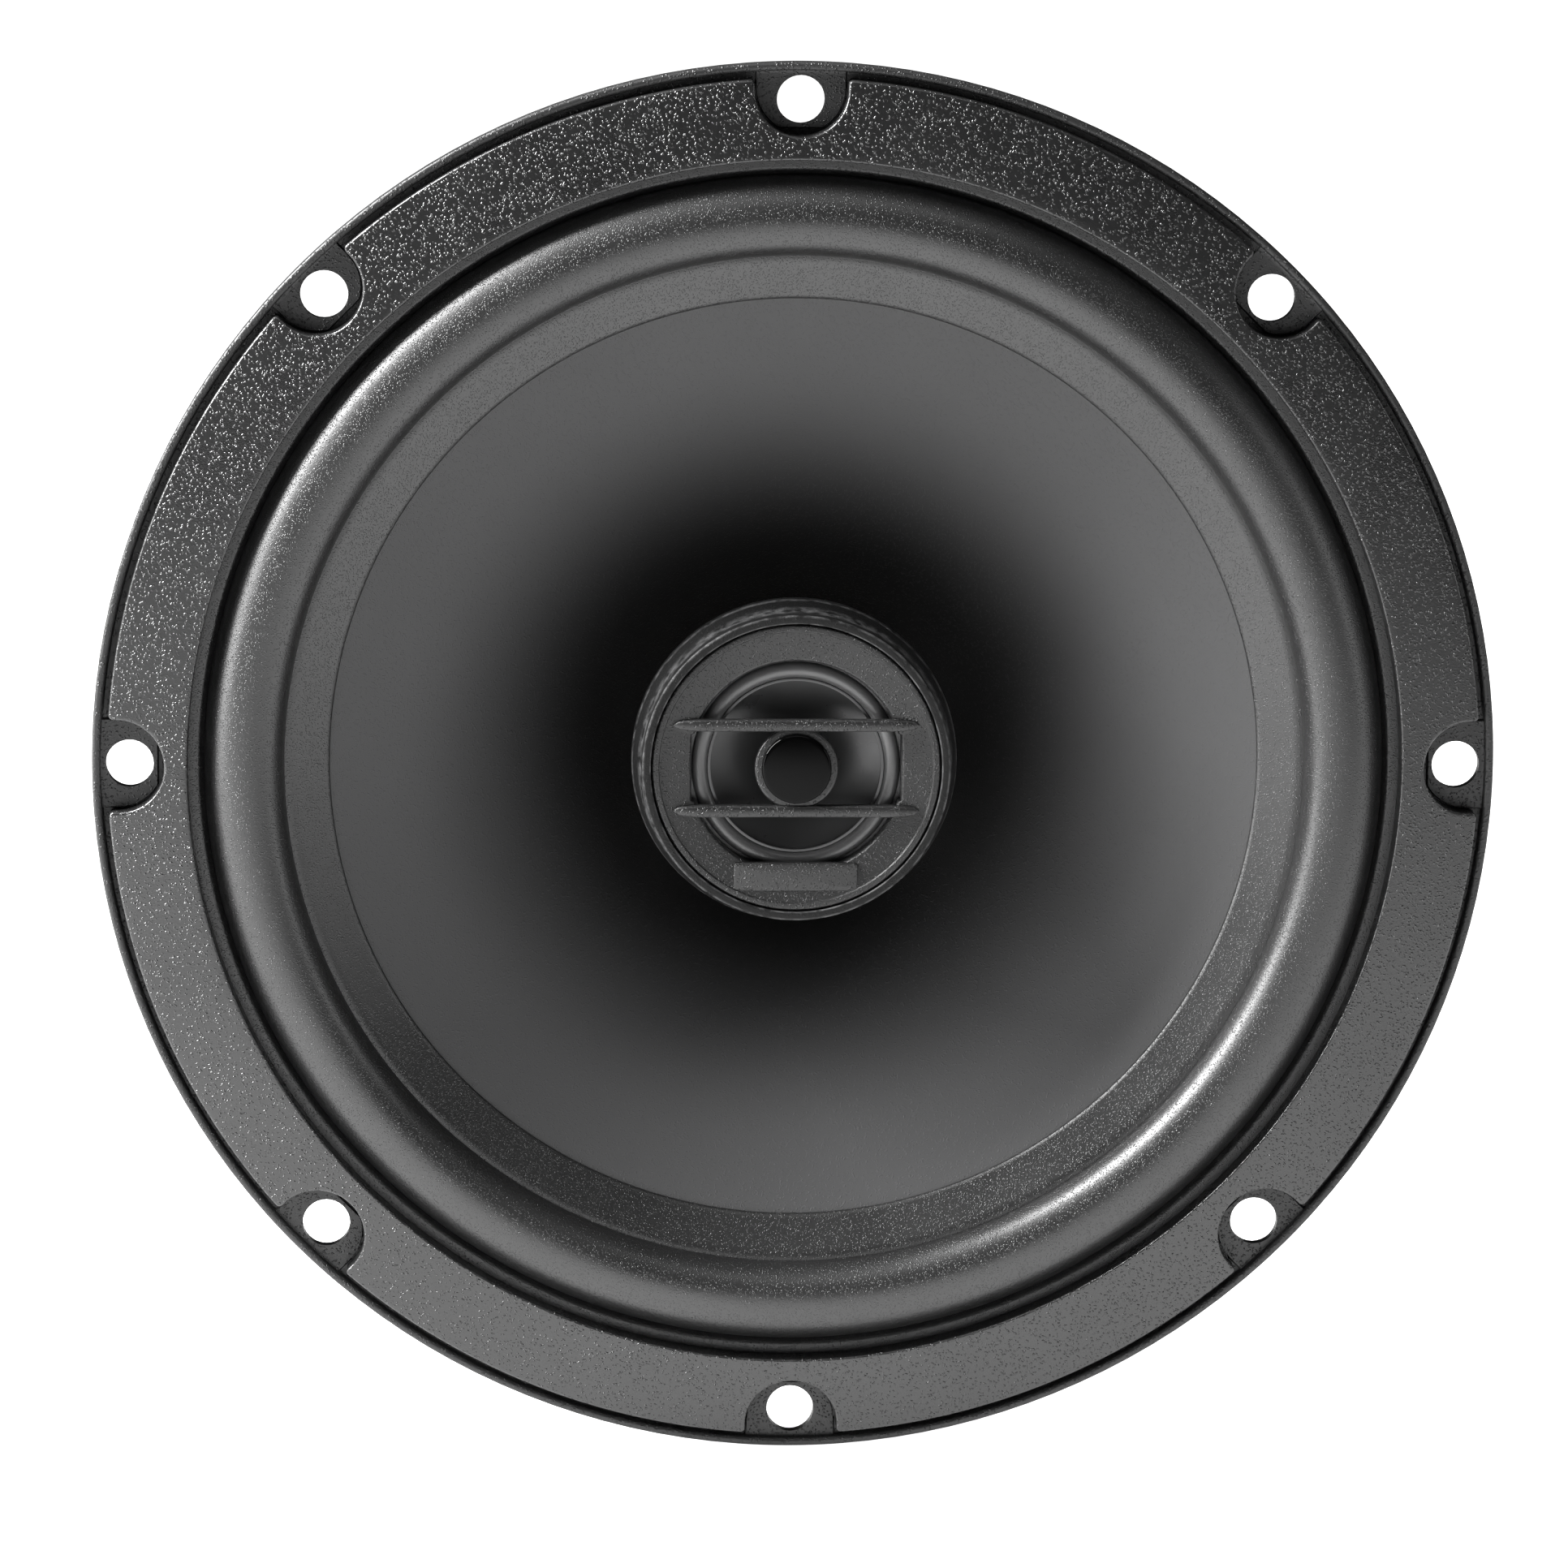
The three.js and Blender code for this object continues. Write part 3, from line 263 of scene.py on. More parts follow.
print("rounded square has", len(rounded([[0, 0], [1, 0], [1, 1], [0, 1]], 0.2)[0]), "points")


# %% [markdown]
# A closed surface has to face outwards. The signed volume, the sum of each triangle's
# a . (b x c) / 6, is negative where it doesn't, and then every face is turned round.


# %% From arrays to objects
def outward(points, faces):
    """The same faces, reversed where the closed surface's signed volume is negative."""
    volume = 0.0
    for block in faces:
        a, b, c = points[block[:, 0]], points[block[:, 1]], points[block[:, 2]]
        volume += np.einsum("ij,ij->", a, np.cross(b, c)) / 6
        if block.shape[1] == 4:
            d = points[block[:, 3]]
            volume += np.einsum("ij,ij->", a, np.cross(c, d)) / 6
    return faces if volume > 0 else [block[:, ::-1] for block in faces]


def new_object(name, points, faces, edge=None, sharp=32):
    """Mesh object of points and blocks of faces; edge is a weight per point for worn edges and the painted
    edge highlight.
    """
    mesh = bpy.data.meshes.new(name)
    mesh.from_pydata(points.tolist(), [], [face for block in faces for face in block.tolist()])
    if edge is not None:
        mesh.attributes.new("edge", "FLOAT", "POINT").data.foreach_set(
            "value", np.asarray(edge, np.float32)
        )
    made = bpy.data.objects.new(name, mesh)
    bpy.context.scene.collection.objects.link(made)
    smooth(mesh, sharp)
    return made


def smooth(mesh, sharp):
    """Smooth shading with creases where two faces meet at more than sharp degrees."""
    mesh.polygons.foreach_set("use_smooth", np.ones(len(mesh.polygons), bool))
    mesh.set_sharp_from_angle(angle=math.radians(sharp))
    mesh.update()


def dress(piece, material, body, slot, *nodes):
    """Gives a finished piece its material, the body it rides on and the nodes it stands for."""
    piece.data.materials.clear()
    piece.data.materials.append(material)
    if "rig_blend" not in piece:
        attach(piece, body)
    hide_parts(*nodes)
    return piece


def turned_arrays(profile, edge, columns, centre=(0.0, 0.0)):
    """Points, faces and edge weights of a profile turned about an axis at x, z = centre. A
    profile that starts and ends at radius 0 closes in two poles, any other closes on itself."""
    profile, edge = np.asarray(profile, float), np.asarray(edge, float)
    angle = np.arange(columns) / columns * 2 * np.pi
    poles = profile[0, 0] < 1e-9
    body = profile[1:-1] if poles else profile
    points = on_axis(body[:, :1], angle[None], body[:, 1:]).reshape(-1, 3)
    weights = np.repeat(edge[1:-1] if poles else edge, columns)
    if poles:
        faces = capped_faces(len(body), columns)
        points = np.vstack([points, on_axis(0.0, 0.0, profile[[0, -1], 1])])
        weights = np.append(weights, [0.0, 0.0])
    else:
        faces = [grid_faces(len(body), columns, wrap_rows=True)]
    points = points + np.array([centre[0], 0.0, centre[1]]) * MM
    return points, outward(points, faces), weights


def turned(name, profile, edge=None, columns=192, centre=(0.0, 0.0), sharp=32):
    """Object made by turning a profile of (radius, forward) points about the axis."""
    edge = np.zeros(len(profile)) if edge is None else edge
    return new_object(name, *turned_arrays(profile, edge, columns, centre), sharp)


def turned_corners(name, corners, setback, columns=192, centre=(0.0, 0.0)):
    """Turned piece given by its profile's corners, each rounded by the setback."""
    closed = corners[0][0] > 0
    return turned(name, *rounded(corners, setback, closed), columns, centre)


def join_arrays(parts):
    """One set of points, faces and weights from several."""
    firsts = np.cumsum([0] + [len(p[0]) for p in parts[:-1]])
    points = np.vstack([p[0] for p in parts])
    faces = [block + first for p, first in zip(parts, firsts) for block in p[1]]
    return points, faces, np.concatenate([p[2] for p in parts])


def extent(node_name):
    """Largest half width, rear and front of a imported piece, in millimetres."""
    low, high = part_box(node_name)
    return max(abs(low.x), abs(high.x)) / MM, -high.y / MM, -low.y / MM


def seat_of(node_name):
    """Centre (x, z), half width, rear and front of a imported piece, in millimetres."""
    low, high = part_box(node_name)
    centre = (low.x + high.x) / 2 / MM, (low.z + high.z) / 2 / MM
    return centre, (high.x - low.x) / 2 / MM, -high.y / MM, -low.y / MM


print("basket:", [round(v, 2) for v in extent("basket")])


# %% [markdown]
# ## Finishes
# Paint, rubber and plastic differ less in colour than in grain. Each grain is a node group with
# named sockets, so several materials use it with their own sizes. All groups read a position in
# metres, which each material takes from the object's own coordinates.


# %% Group helpers
def sum_of(tree, kind, *values):
    """Output of a Math node of that kind on the values."""
    inputs = {f"_{i}": value for i, value in enumerate(values)}
    return node(tree, "ShaderNodeMath", {"operation": kind}, **inputs).outputs[0]


def new_group(name, inputs, outputs):
    """Empty node group with named sockets: (tree, inputs' node, outputs' node)."""
    tree = bpy.data.node_groups.new(name, "ShaderNodeTree")
    kinds = {"v": "NodeSocketVector", "f": "NodeSocketFloat", "c": "NodeSocketColor"}
    for socket, kind in inputs.items():
        tree.interface.new_socket(socket, in_out="INPUT", socket_type=kinds[kind])
    for socket, kind in outputs.items():
        tree.interface.new_socket(socket, in_out="OUTPUT", socket_type=kinds[kind])
    return tree, tree.nodes.new("NodeGroupInput"), tree.nodes.new("NodeGroupOutput")


def placed(tree, group, **inputs):
    """A group's node placed in a material."""
    return node(tree, "ShaderNodeGroup", {"node_tree": group}, **inputs)


def from_axis(tree, position):
    """Distance from the speaker's axis at each point: the square root of x^2 + z^2."""
    x, _, z = node(tree, "ShaderNodeSeparateXYZ", Vector=position).outputs
    squares = sum_of(tree, "MULTIPLY_ADD", x, x, sum_of(tree, "MULTIPLY", z, z))
    return sum_of(tree, "SQRT", squares)


print("group helpers ready")

# %% [markdown]
# **Moulded grain** is the pattern etched into a plastic mould: small round pimples on a flat ground.
# A Voronoi pattern places one pimple in each cell, a noise shifts them off their grid, and a
# second noise leaves the ground a little uneven.

# %% Moulded grain
grain, g_in, g_out = new_group(
    "moulded_grain", {"Position": "v", "Cells per metre": "f", "Bend": "f"}, {"Height": "f"}
)
bend = node(
    grain, "ShaderNodeTexNoise", Vector=g_in.outputs["Position"],
    Scale=g_in.outputs["Cells per metre"], Detail=1.0,
)
bent = node(
    grain, "ShaderNodeVectorMath", {"operation": "MULTIPLY_ADD"},
    _0=bend.outputs["Color"], _1=(MM, MM, MM), _2=g_in.outputs["Position"],
)
stretch = node(
    grain, "ShaderNodeMix", {"data_type": "VECTOR"}, _0=g_in.outputs["Bend"],
    _4=g_in.outputs["Position"], _5=bent.outputs[0],
)
cells = node(
    grain, "ShaderNodeTexVoronoi", {"feature": "SMOOTH_F1"}, Vector=stretch.outputs[1],
    Scale=g_in.outputs["Cells per metre"], Smoothness=0.35,
)
fine = node(
    grain, "ShaderNodeTexNoise", Vector=g_in.outputs["Position"],
    Scale=sum_of(grain, "MULTIPLY", g_in.outputs["Cells per metre"], 2.3), Detail=2.0,
)
pimple = node(
    grain, "ShaderNodeMapRange", {"interpolation_type": "SMOOTHSTEP"}, Value=cells.outputs["Distance"],
    From_Min=0.10, From_Max=0.42, To_Min=1.0, To_Max=0.0,
)
height = sum_of(grain, "MULTIPLY_ADD", fine.outputs["Fac"], 0.35, pimple.outputs[0])
grain.links.new(height, g_out.inputs["Height"])
print("group:", grain.name)

# %% [markdown]
# **Tone drift** is the slow change of shade that no real surface is without: thicker and thinner
# paint, flow marks, handling. It moves the colour and the roughness together.

# %% Tone drift
drift, d_in, d_out = new_group(
    "tone_drift",
    {"Position": "v", "Colour": "c", "Spread": "f", "Roughness": "f", "Patches per metre": "f"},
    {"Colour": "c", "Roughness": "f"},
)
patches = node(
    drift, "ShaderNodeTexNoise", Vector=d_in.outputs["Position"],
    Scale=d_in.outputs["Patches per metre"], Detail=4.0, Roughness=0.6,
)
swing = sum_of(drift, "MULTIPLY", sum_of(drift, "SUBTRACT", patches.outputs["Fac"], 0.5), 2.0)
gain = sum_of(drift, "MULTIPLY_ADD", swing, d_in.outputs["Spread"], 1.0)
shade = node(
    drift, "ShaderNodeVectorMath", {"operation": "SCALE"}, _0=d_in.outputs["Colour"], Scale=gain
)
drift.links.new(shade.outputs[0], d_out.inputs["Colour"])
softer = sum_of(drift, "MULTIPLY_ADD", swing, -0.12, d_in.outputs["Roughness"])
drift.links.new(softer, d_out.inputs["Roughness"])
print("group:", drift.name)

# %% [markdown]
# ** Worn edges** show where hands and fittings rub; on the tweeter housing the same lighter edges are also
# a painted highlight along its rim. Each piece carries a weight per point that is 1 along its rounded
# corners, and a fine noise breaks the line up.

# %% Worn edges and painted edge highlight
edge_wear_and_highlight, w_in, w_out = new_group(
    "edge_wear_and_painted_highlight", {"Position": "v", "Colour": "c", "Rubbed": "c", "Amount": "f"}, {"Colour": "c"}
)
edge_weight = node(edge_wear_and_highlight, "ShaderNodeAttribute", {"attribute_name": "edge"})
edge_break_noise = node(edge_wear_and_highlight, "ShaderNodeTexNoise", Vector=w_in.outputs["Position"], Scale=900.0, Detail=3.0)
patchy = node(
    edge_wear_and_highlight, "ShaderNodeMapRange", Value=edge_break_noise.outputs["Fac"], From_Min=0.35, From_Max=0.65
)
edge_tint_share = sum_of(
    edge_wear_and_highlight, "MULTIPLY", sum_of(edge_wear_and_highlight, "MULTIPLY", edge_weight.outputs["Fac"], patchy.outputs[0]),
    w_in.outputs["Amount"],
)
rubbed = node(
    edge_wear_and_highlight, "ShaderNodeMix", {"data_type": "RGBA"}, _0=edge_tint_share, _6=w_in.outputs["Colour"],
    _7=w_in.outputs["Rubbed"],
)
edge_wear_and_highlight.links.new(rubbed.outputs[2], w_out.inputs["Colour"])
print("group:", edge_wear_and_highlight.name)

# %% [markdown]
# **Turned lines** are the fine rings that a lathe or a polishing pad leaves round the axis. The
# height follows sin(2 pi radius / pitch), made uneven by noise.

# %% Turned lines
rings, r_in, r_out = new_group("turned_lines", {"Position": "v", "Pitch": "f"}, {"Height": "f"})
turns = sum_of(rings, "DIVIDE", from_axis(rings, r_in.outputs["Position"]), r_in.outputs["Pitch"])
wobble = node(rings, "ShaderNodeTexNoise", {"noise_dimensions": "1D"}, W=turns, Scale=0.37, Detail=3.0)
wave = sum_of(rings, "SINE", sum_of(rings, "MULTIPLY", turns, 2 * math.pi))
rings.links.new(sum_of(rings, "MULTIPLY", wave, wobble.outputs["Fac"]), r_out.inputs["Height"])
print("group:", rings.name)

# %% [markdown]
# **Weave** is a plain cloth: threads over and under in two directions. Along each thread the
# height is |sin|, and a checker of the two directions decides which thread lies on top.

# %% Weave
weave, v_in, v_out = new_group("weave", {"Across": "f", "Along": "f"}, {"Height": "f", "Gap": "f"})
warp = sum_of(weave, "SINE", sum_of(weave, "MULTIPLY", v_in.outputs["Across"], math.pi))
weft = sum_of(weave, "SINE", sum_of(weave, "MULTIPLY", v_in.outputs["Along"], math.pi))
over = sum_of(weave, "MULTIPLY", warp, weft)
bump = sum_of(weave, "MAXIMUM", sum_of(weave, "ABSOLUTE", warp), sum_of(weave, "ABSOLUTE", weft))
weave.links.new(sum_of(weave, "MULTIPLY_ADD", over, 0.35, bump), v_out.inputs["Height"])
gap = node(
    weave, "ShaderNodeMapRange", Value=bump, From_Min=0.25, From_Max=0.7, To_Min=1.0, To_Max=0.0
)
weave.links.new(gap.outputs[0], v_out.inputs["Gap"])
print("group:", weave.name)


# %% [markdown]
# Every material starts the same way: a Principled shader, the object's position, the colour and
# roughness drift, and the worn edges, which on the tweeter housing are also a painted rim highlight.
# Plain values go straight onto the shader's own sockets.


# %% The common start of a material
def finish(name, colour, roughness, spread=0.12, patches=60.0, rubbed=None, amount=0.0, **plain):
    """Material with drifting colour and roughness, and edges tinted by the edge tint: wear, and on the
    tweeter housing also a painted highlight. Returns the material, its tree, its shader and the position's
    socket."""
    made = bpy.data.materials.new(name)
    made.use_nodes = True
    tree = made.node_tree
    shader = tree.nodes["Principled BSDF"]
    position = node(tree, "ShaderNodeTexCoord").outputs["Object"]
    tone = placed(
        tree, drift, Position=position, Colour=(*colour, 1), Spread=spread, Roughness=roughness,
        Patches_per_metre=patches,
    )
    shown = tone.outputs["Colour"]
    if amount:
        shown = placed(
            tree, edge_wear_and_highlight, Position=position, Colour=shown, Rubbed=(*rubbed, 1), Amount=amount
        ).outputs["Colour"]
    tree.links.new(shown, shader.inputs["Base Color"])
    tree.links.new(tone.outputs["Roughness"], shader.inputs["Roughness"])
    for key, value in plain.items():
        shader.inputs[key.replace("_", " ")].default_value = value
    return made, tree, shader, position


def bump_of(tree, shader, height, depth):
    """Feeds a height, in units of depth metres, to the shader's normal through a Bump node."""
    bump_node = node(tree, "ShaderNodeBump", Height=height, Strength=1.0, Distance=depth)
    tree.links.new(bump_node.outputs["Normal"], shader.inputs["Normal"])


def grained(name, colour, roughness, cells, depth, bend=0.5, **more):
    """Finish with a moulded grain of that many cells per metre and that depth in metres."""
    made, tree, shader, position = finish(name, colour, roughness, **more)
    cell = placed(tree, grain, Position=position, Cells_per_metre=cells, Bend=bend)
    bump_of(tree, shader, cell.outputs["Height"], depth)
    return made


def grey(level):
    """A neutral colour of that linear brightness."""
    return (level, level, level * 1.01)


steel_paint = grained(
    "black_steel_paint", grey(0.018), 0.42, 2600, 0.00007, rubbed=grey(0.20), amount=0.5, patches=90
)
trim_plastic = grained(
    "leather_grain_plastic", grey(0.009), 0.29, 2550, 0.00007, rubbed=grey(0.06), amount=0.3,
    Specular_IOR_Level=0.72
)
tweeter_plastic = grained(
    "fine_grain_plastic", grey(0.010), 0.36, 3400, 0.00006, rubbed=grey(0.06), amount=0.3,
    Specular_IOR_Level=0.5
)
socket_plastic = grained("post_plastic", grey(0.03), 0.5, 3000, 0.00003)
# The housing's edges are tinted lighter as a painted highlight along its rim, as well as wear.
housing_plastic_and_painted_rim_highlight = grained(
    "housing_plastic_and_painted_rim_highlight", grey(0.006), 0.5, 3000, 0.00003, rubbed=grey(0.10), amount=0.8,
    Specular_IOR_Level=0.22
)
gloss_black = finish("gloss_black_lacquer", grey(0.001), 0.08, spread=0.3, Specular_IOR_Level=0.1)[0]
ferrite = grained(
    "sintered_ferrite", (0.020, 0.021, 0.024), 0.62, 1100, 0.00009, bend=1.0, rubbed=grey(0.09),
    amount=0.5
)
print("materials:", len(bpy.data.materials))

# %% [markdown]
# The surround's rubber is satin: a broad soft highlight with a very fine matt grain over it.

# %% Rubber
rubber, tree, shader, position = finish(
    "satin_rubber", grey(0.009), 0.37, spread=0.10, patches=40, Specular_IOR_Level=0.78
)
matt = placed(tree, grain, Position=position, Cells_per_metre=4200, Bend=0.3)
bump_of(tree, shader, matt.outputs["Height"], 0.00003)
tweeter_rubber, tree, shader, position = finish(
    "small_roll_rubber", grey(0.060), 0.34, spread=0.08, Specular_IOR_Level=0.85
)
matt = placed(tree, grain, Position=position, Cells_per_metre=6000, Bend=0.3)
bump_of(tree, shader, matt.outputs["Height"], 0.000012)
print("rubbers:", rubber.name, tweeter_rubber.name)

# %% [markdown]
# The cone is pulp with a grey coating. Towards the neck its colour fades to near black: painted shade
# standing in for the shade deep inside the cone. Short fibres lie under the coating.

# %% Cone coating and painted neck shade
cone_outer, _, cone_front = extent("cone")
NECK_PAINTED_SHADE_FULL, NECK_PAINTED_SHADE_GONE = 22.0, 48.0  # radius inside which the painted shade is full, and beyond which it is gone

# The first colour is the coat's own grey; the second, near black, is painted shade for the neck.
COAT, NECK_PAINTED_SHADE_COLOUR = grey(0.062), grey(0.0025)
cone_paper, tree, shader, position = finish(
    "coated_pulp_and_painted_neck_shade", COAT, 0.5, spread=0.05, patches=45, Specular_IOR_Level=0.18
)
# Painted shade: the colour fades from the near-black shade at the neck to the coat's grey further out.
unshaded_share = node(
    tree, "ShaderNodeMapRange", {"interpolation_type": "SMOOTHSTEP"},
    Value=from_axis(tree, position), From_Min=NECK_PAINTED_SHADE_FULL * MM, From_Max=NECK_PAINTED_SHADE_GONE * MM,
)
coat_and_painted_shade = node(
    tree, "ShaderNodeMix", {"data_type": "RGBA"}, _0=unshaded_share.outputs[0], _6=(*NECK_PAINTED_SHADE_COLOUR, 1), _7=(*COAT, 1)
)
tone = shader.inputs["Base Color"].links[0].from_node
tree.links.new(coat_and_painted_shade.outputs[2], tone.inputs["Colour"])
fibre = placed(tree, grain, Position=position, Cells_per_metre=2400, Bend=1.0)
bump_of(tree, shader, fibre.outputs["Height"], 0.000025)
print("cone radius:", round(cone_outer, 1))

# %% [markdown]
# Metals: zinc plating is bright, faintly blue and a little cloudy. Faces that were turned on a
# lathe get the ring pattern, and copper wire gets its winding as a wave along the coil.

# %% Metals
zinc, tree, shader, position = finish(
    "zinc_plate", (0.25, 0.26, 0.28), 0.36, spread=0.14, patches=160, rubbed=grey(0.5), amount=0.5,
    Metallic=0.9
)
lathe = placed(tree, rings, Position=position, Pitch=0.0006)
bump_of(tree, shader, lathe.outputs["Height"], 0.00003)
rivet_steel = finish(
    "rivet_steel", grey(0.30), 0.38, spread=0.2, patches=400, rubbed=grey(0.6), amount=0.6,
    Metallic=0.9
)[0]
nickel = finish("nickel_plate", (0.62, 0.60, 0.56), 0.2, spread=0.1, patches=200, Metallic=1.0)[0]
tin, tree, shader, position = finish(
    "tinned_brass", (0.44, 0.43, 0.40), 0.32, spread=0.1, patches=500, rubbed=(0.40, 0.31, 0.15),
    amount=0.5, Metallic=1.0
)
solder_dips = node(tree, "ShaderNodeTexNoise", Vector=position, Scale=350.0, Detail=1.0)
bump_of(tree, shader, solder_dips.outputs["Fac"], 0.00003)

COIL_PITCH = 0.00032


def wound(name, colour, pitch):
    """Copper winding: ridges along the axis, one per turn of wire."""
    made, tree, shader, position = finish(name, colour, 0.32, spread=0.1, patches=300, Metallic=0.9)
    along = node(tree, "ShaderNodeSeparateXYZ", Vector=position).outputs["Y"]
    turn = sum_of(tree, "SINE", sum_of(tree, "MULTIPLY", along, math.pi / pitch))
    bump_of(tree, shader, sum_of(tree, "ABSOLUTE", turn), pitch * 0.5)
    return made


copper = wound("enamelled_copper", (0.50, 0.20, 0.07), COIL_PITCH)
foil = finish("coil_former_film", (0.36, 0.25, 0.11), 0.35, spread=0.15, patches=150)[0]
print("metals:", zinc.name, tin.name, copper.name)

# %% [markdown]
# The tweeter's dish is a thin polymer film with a metal coat, dark and smoothly shiny. The badge
# is gloss lacquer over a plain button.

# %% Dish film
former_metal = finish("anodised_former", grey(0.09), 0.35, spread=0.1, Metallic=0.9)[0]
dish_film = finish("metallised_film", grey(0.045), 0.30, spread=0.1, patches=160, Metallic=0.65)[0]
print("film:", dish_film.name)

# %% [markdown]
# The spider is open cotton cloth dipped in resin and pressed flat before it is pleated, so its
# threads run straight across and up whatever the pleats do. Its weave reads X and Z directly.

# %% Cloth, laminate and wires
THREADS_PER_METRE = 1500.0
spider_cloth, tree, shader, position = finish(
    "resin_dipped_cotton", (0.33, 0.20, 0.065), 0.72, spread=0.25, patches=70, Sheen_Weight=0.15
)
thread_place = node(tree, "ShaderNodeSeparateXYZ", Vector=position)
cloth = placed(
    tree, weave, Across=sum_of(tree, "MULTIPLY", thread_place.outputs["X"], THREADS_PER_METRE),
    Along=sum_of(tree, "MULTIPLY", thread_place.outputs["Z"], THREADS_PER_METRE),
)
bump_of(tree, shader, cloth.outputs["Height"], 0.00025)
thread_colour = shader.inputs["Base Color"].links[0].from_socket
hollow = node(
    tree, "ShaderNodeMix", {"data_type": "RGBA"}, _0=cloth.outputs["Gap"], _6=thread_colour,
    _7=(0.05, 0.026, 0.008, 1),
)
tree.links.new(hollow.outputs[2], shader.inputs["Base Color"])

laminate = grained(
    "pressed_board", (0.105, 0.050, 0.022), 0.55, 2100, 0.00004, bend=1.0, spread=0.3, patches=350,
    rubbed=(0.2, 0.12, 0.06), amount=0.7
)
sleeve = finish(
    "capacitor_sleeve", (0.012, 0.020, 0.050), 0.28, spread=0.12, patches=300,
    rubbed=(0.1, 0.12, 0.2), amount=0.4
)[0]
red_wire = grained("red_insulation", (0.35, 0.015, 0.012), 0.42, 2600, 0.00002, patches=200)
black_wire = grained("black_insulation", grey(0.012), 0.42, 2600, 0.00002, patches=200)


def braided(name, colour):
    """Braid: two sets of strands that cross along the wire, drawn in the tube's own UV map."""
    made, tree, shader, _ = finish(name, colour, 0.38, spread=0.15, patches=500, Metallic=0.85)
    own = node(tree, "ShaderNodeUVMap", {"uv_map": "along"})
    uv = node(tree, "ShaderNodeSeparateXYZ", Vector=own.outputs["UV"])
    crossing = placed(
        tree, weave, Across=sum_of(tree, "ADD", uv.outputs["X"], uv.outputs["Y"]),
        Along=sum_of(tree, "SUBTRACT", uv.outputs["X"], uv.outputs["Y"]),
    )
    bump_of(tree, shader, crossing.outputs["Height"], 0.00018)
    return made


braid = braided("tinsel_braid", (0.46, 0.24, 0.10))
print("materials:", len(bpy.data.materials))

# %% [markdown]
# ## Basket
# The basket is pressed from 1 mm steel. Its flange lies flat behind the trim ring, a low lip turns
# up round it, and behind the mouth it narrows over six legs to the spider ledge and the motor
# seat. It is made as one sheet whose columns run round the axis and whose rows follow the
# pressing's profile. A modifier could thicken it, but it would blur the small rounded bends, so
# the front and the rear are both worked out and a rim joins them. Round each screw hole the
# columns run parallel, so that they can follow the hole and the raised pad's outline.

# %% Sizes of the basket
basket_r, _, lip_top = extent("basket")
SHEET = 1.0
HOLES, HOLE_R, HOLE_INSET = 8, 2.8, 4.4
PAD_TOP, PAD_CHORD, PAD_HALF = 1.5, 3.2, 5.15
NOTCH_INSET = 3.1
MOUTH_R, FLANGE_OVER = basket_r - 11.8, 1.2  # the flange ends that far outside the mouth
pitch_r = basket_r - HOLE_INSET
notch_r = basket_r - NOTCH_INSET
COLUMNS = 384
print("pitch circle:", round(2 * pitch_r, 1), "mm, mouth:", round(2 * MOUTH_R, 1), "mm")


# %% Flange with holes and pads
def flange_sectors():
    """Rows of the flange over one 45 degree sector, as (radius, angle, forward) arrays, split at
    the pitch line. Offset b from the hole's radial line picks the column. Up to 6 mm the columns
    are parallel lines of constant b, and beyond that they spread evenly in angle."""
    edge_b, half = 6.0, math.pi / HOLES
    hole_b = HOLE_R * np.sin(np.linspace(-90, 90, 17) * math.pi / 180)
    side_b = np.array([3.3, 3.8, 4.3, 4.75, 5.0, PAD_HALF, PAD_HALF + 0.2, edge_b])
    b = np.concatenate([-side_b[::-1], hole_b, side_b])
    extra = COLUMNS // HOLES - len(b) + 1
    spread = np.arange(1, extra // 2 + 1) / (extra // 2)
    inner_r, outer_r = MOUTH_R + FLANGE_OVER, basket_r - SHEET - 0.4
    pad = notch_r - np.sqrt(np.maximum(PAD_HALF**2 - b**2, 0))
    pad = np.maximum(pad, pitch_r - PAD_CHORD)
    hole = np.sqrt(np.maximum(HOLE_R**2 - b**2, 0))
    split = np.maximum(pitch_r, pad + 0.35)
    on_pad = (np.abs(b) <= PAD_HALF + 1e-6).astype(float)
    low = np.where(np.abs(b) < HOLE_R - 1e-6, pitch_r - hole, split)
    high = np.where(np.abs(b) < HOLE_R - 1e-6, pitch_r + hole, split)
    at_radius = lambda r: np.sqrt(r**2 - b**2)
    flat, raised = np.full_like(b, SHEET), SHEET + (PAD_TOP - SHEET) * on_pad
    rows = [
        (at_radius(inner_r), flat), (0.5 * (at_radius(inner_r) + pad - 0.25), flat),
        (pad - 0.2, flat), (pad, raised), (0.5 * (pad + low), raised), (low, raised),
        (high, raised), (0.5 * (high + at_radius(outer_r)), raised), (at_radius(outer_r), raised),
    ]
    a, f = np.array([r[0] for r in rows]), np.array([r[1] for r in rows])
    radius, angle = np.hypot(a, b), np.arctan2(b, a)
    fan = lambda end, side: end[:, None] + (side * half - end[:, None]) * spread[None]
    right, left = fan(angle[:, -1], 1), fan(angle[:, 0], -1)[:, ::-1][:, 1:]
    widen = lambda v: np.hstack([
        np.repeat(v[:, :1], left.shape[1], 1), v, np.repeat(v[:, -1:], right.shape[1], 1)
    ])
    radius, f, angle = widen(radius), widen(f), np.hstack([left, angle, right])
    even = (np.arange(angle.shape[1]) + 1) / angle.shape[1] * 2 * half - half
    angle[0], angle[1] = even, (even + angle[2]) / 2
    return radius, angle, f


def full_round(rows):
    """Repeats a sector's rows for all eight holes: arrays of rows x COLUMNS."""
    radius, angle, f = rows
    turns = np.arange(HOLES) * 2 * math.pi / HOLES
    angle = (angle[:, None, :] + turns[None, :, None]).reshape(len(angle), -1)
    return np.tile(radius, (1, HOLES)), angle, np.tile(f, (1, HOLES))


flange_radius, flange_angle, flange_f = full_round(flange_sectors())
ROWS_IN = 6  # rows inside the pitch line: the hole opens after them
print("flange grid:", flange_radius.shape)

